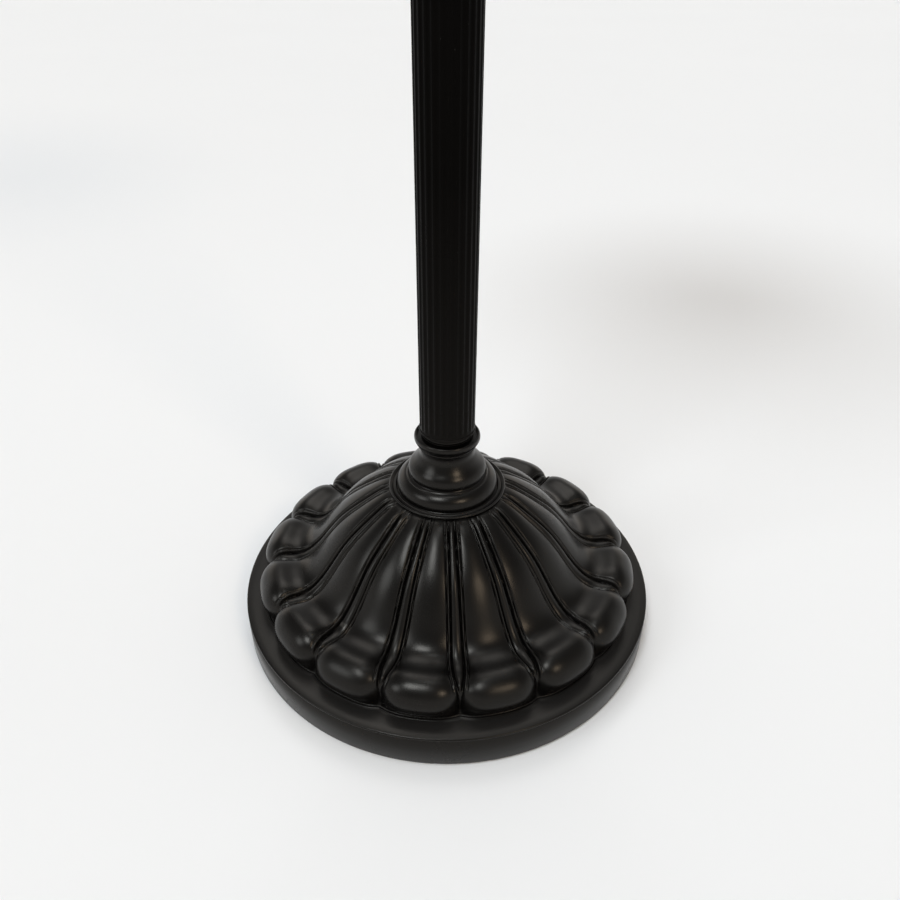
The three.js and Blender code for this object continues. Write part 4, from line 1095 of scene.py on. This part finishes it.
# Vent cap, pressed in shallow lobes, with a rolled edge, and the finial
VENT_LOBES = 16
LOBE_DEPTH = 1.1
LOBE_RADII = (15, 26, 38, 43)
VENT_OUTLINE = [
    (BORE, 15.6), (12, 15.6, 2), (27, 10.6, 6), (41, 4.2, 6), (44.6, 0.3, 0.4),
    *smooth([(45.0, 0.1), (45.9, 0.3), (46.0, 1.2), (45.2, 1.8)]),
    *smooth([(44.2, 2.6), (42.4, 5.4), (36.0, 8.8), (28.0, 12.0), (20.0, 14.8), (14.0, 16.4), (12.6, 16.6)]),
    *smooth([(12.2, 16.6), (11.6, 16.98), (10.6, 17.0)]), (BORE, 17),
]


def lobed(turn, radius, height):
    lobes = np.abs(np.cos(turn * VENT_LOBES / 2)) ** 6
    return radius, height - LOBE_DEPTH * window(radius, *LOBE_RADII) * lobes


on_axis("vent_cap_pressing", "vent_cap", VENT_OUTLINE, "cast", "bronze", "shade", 256, shape=lobed)
FINIAL_OUTLINE = [
    (BORE, 0), (10, 0, 0.4),
    *smooth([(10.1, 0.7), (9.9, 1.8), (8.8, 2.6)]),
    *smooth([(7.4, 3.2), (6.9, 4.6), (7.0, 5.8)]),
    *smooth(
        [(7.9, 6.6), (9.4, 9.6), (10.7, 13.2), (11.0, 16.0), (10.4, 19.4), (8.4, 22.6), (6.2, 24.4)]
        + [(4.6, 25.9), (3.6, 28.0), (3.1, 30.4), (3.2, 31.8)]
    ),
    *smooth([(3.8, 32.4), (4.9, 34.0), (5.0, 36.0), (4.4, 38.2), (3.0, 40.2), (1.4, 41.5), (0, 42)]),
    (0, 16.2), (BORE, 16.2),
]
on_axis("finial_turning", "finial", FINIAL_OUTLINE, "cast", "bronze", "finial")

# The nodes that stay as they are, out of sight, get their finish here
KEPT_STEEL = ["base_washer", "base_nut", "base_pipe", "joint_pipe_1", "joint_pipe_2", "riser_pipe"]
for node in ["base_weight", *KEPT_STEEL]:
    finish = MATERIALS["steel" if node in KEPT_STEEL else "iron"]
    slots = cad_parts[node].data.materials
    if not slots:
        slots.append(finish)
    for k in range(len(slots)):
        slots[k] = finish


# Floor, world and lights. Suns are (name, azimuth, elevation and width in degrees, strength, tint).
FLOOR_SIZE = 40
FLOOR_COLOUR = (0.868, 0.864, 0.86)
WALL_COLOUR = (0.885, 0.885, 0.88)
CEILING_COLOUR = (0.28, 0.28, 0.28)
WALL_TOP, CEILING_EDGE = math.sin(math.radians(8)), math.sin(math.radians(36))
WHITE, WARM, COOL = (1, 1, 1), (1, 0.84, 0.66), (0.89, 0.95, 1)
SUNS = [
    ("key", 323, 62, 16, 0.34, COOL),
    ("warm_front_right", 32, 40, 15, 0.17, WARM),
    ("window_left", 293, 35, 22, 0.17, COOL),
    ("overhead_back", 180, 60, 30, 0.16, WHITE),
    ("top_right", 100, 72, 22, 0.02, COOL),
    ("top_left", 240, 72, 22, 0.02, WHITE),
    ("rim_right", 145, 12, 30, 0.03, WARM),
    ("rim_left", 215, 12, 30, 0.03, WARM),
]
BOX_PLACE, BOX_TARGET = Vector((0, -0.1, 1.15)), Vector((0, 0, 0.05))
BOX_SIZE, BOX_STRENGTH = 0.3, 0.28


def floor_and_world():
    """A pale floor, and walls of the same brightness that fade to a darker ceiling."""
    bpy.ops.mesh.primitive_plane_add(size=FLOOR_SIZE)
    floor = bpy.context.object
    floor.name = "studio_floor"
    paper = Paint("floor_paper")
    cloud = paper.noise(1.2, detail=4)
    paper.set(Base_Color=paper.ramp(cloud, (0.3, FLOOR_COLOUR), (0.7, [c * 1.01 for c in FLOOR_COLOUR])))
    paper.set(Roughness=0.9, Specular_IOR_Level=0.1)
    floor.data.materials.append(paper.material)

    world = bpy.data.worlds.new("studio_world")
    bpy.context.scene.world = world
    world.use_nodes = True
    nodes, links = world.node_tree.nodes, world.node_tree.links
    direction = nodes.new("ShaderNodeTexCoord")
    split = nodes.new("ShaderNodeSeparateXYZ")
    ramp = nodes.new("ShaderNodeValToRGB")
    stops = ramp.color_ramp.elements
    stops[0].position, stops[1].position = WALL_TOP, CEILING_EDGE
    stops[0].color, stops[1].color = (*WALL_COLOUR, 1), (*CEILING_COLOUR, 1)
    ramp.color_ramp.interpolation = "EASE"
    links.new(direction.outputs["Generated"], split.inputs["Vector"])
    links.new(split.outputs["Z"], ramp.inputs["Fac"])
    links.new(ramp.outputs["Color"], nodes["Background"].inputs["Color"])


def light(kind, name, strength, tint, toward):
    """A light that shines from `toward`."""
    data = bpy.data.lights.new(name, kind)
    data.energy = math.pi * strength
    data.color = tint
    made = placed(name, data)
    made.rotation_euler = toward.to_track_quat("Z", "Y").to_euler()
    return made


def light_up():
    """Broad suns all round, and a soft box under the shade."""
    for name, azimuth, elevation, width, strength, tint in SUNS:
        turn, rise = math.radians(azimuth), math.radians(elevation)
        toward = Vector((math.sin(turn) * math.cos(rise), -math.cos(turn) * math.cos(rise), math.sin(rise)))
        light("SUN", name, strength, tint, toward).data.angle = math.radians(width)
    box = light("AREA", "under_shade", BOX_STRENGTH, COOL, BOX_PLACE - BOX_TARGET)
    box.data.size = BOX_SIZE
    box.location = BOX_PLACE
    box.visible_camera = False


floor_and_world()
light_up()
bpy.context.scene.view_settings.view_transform = "Standard"
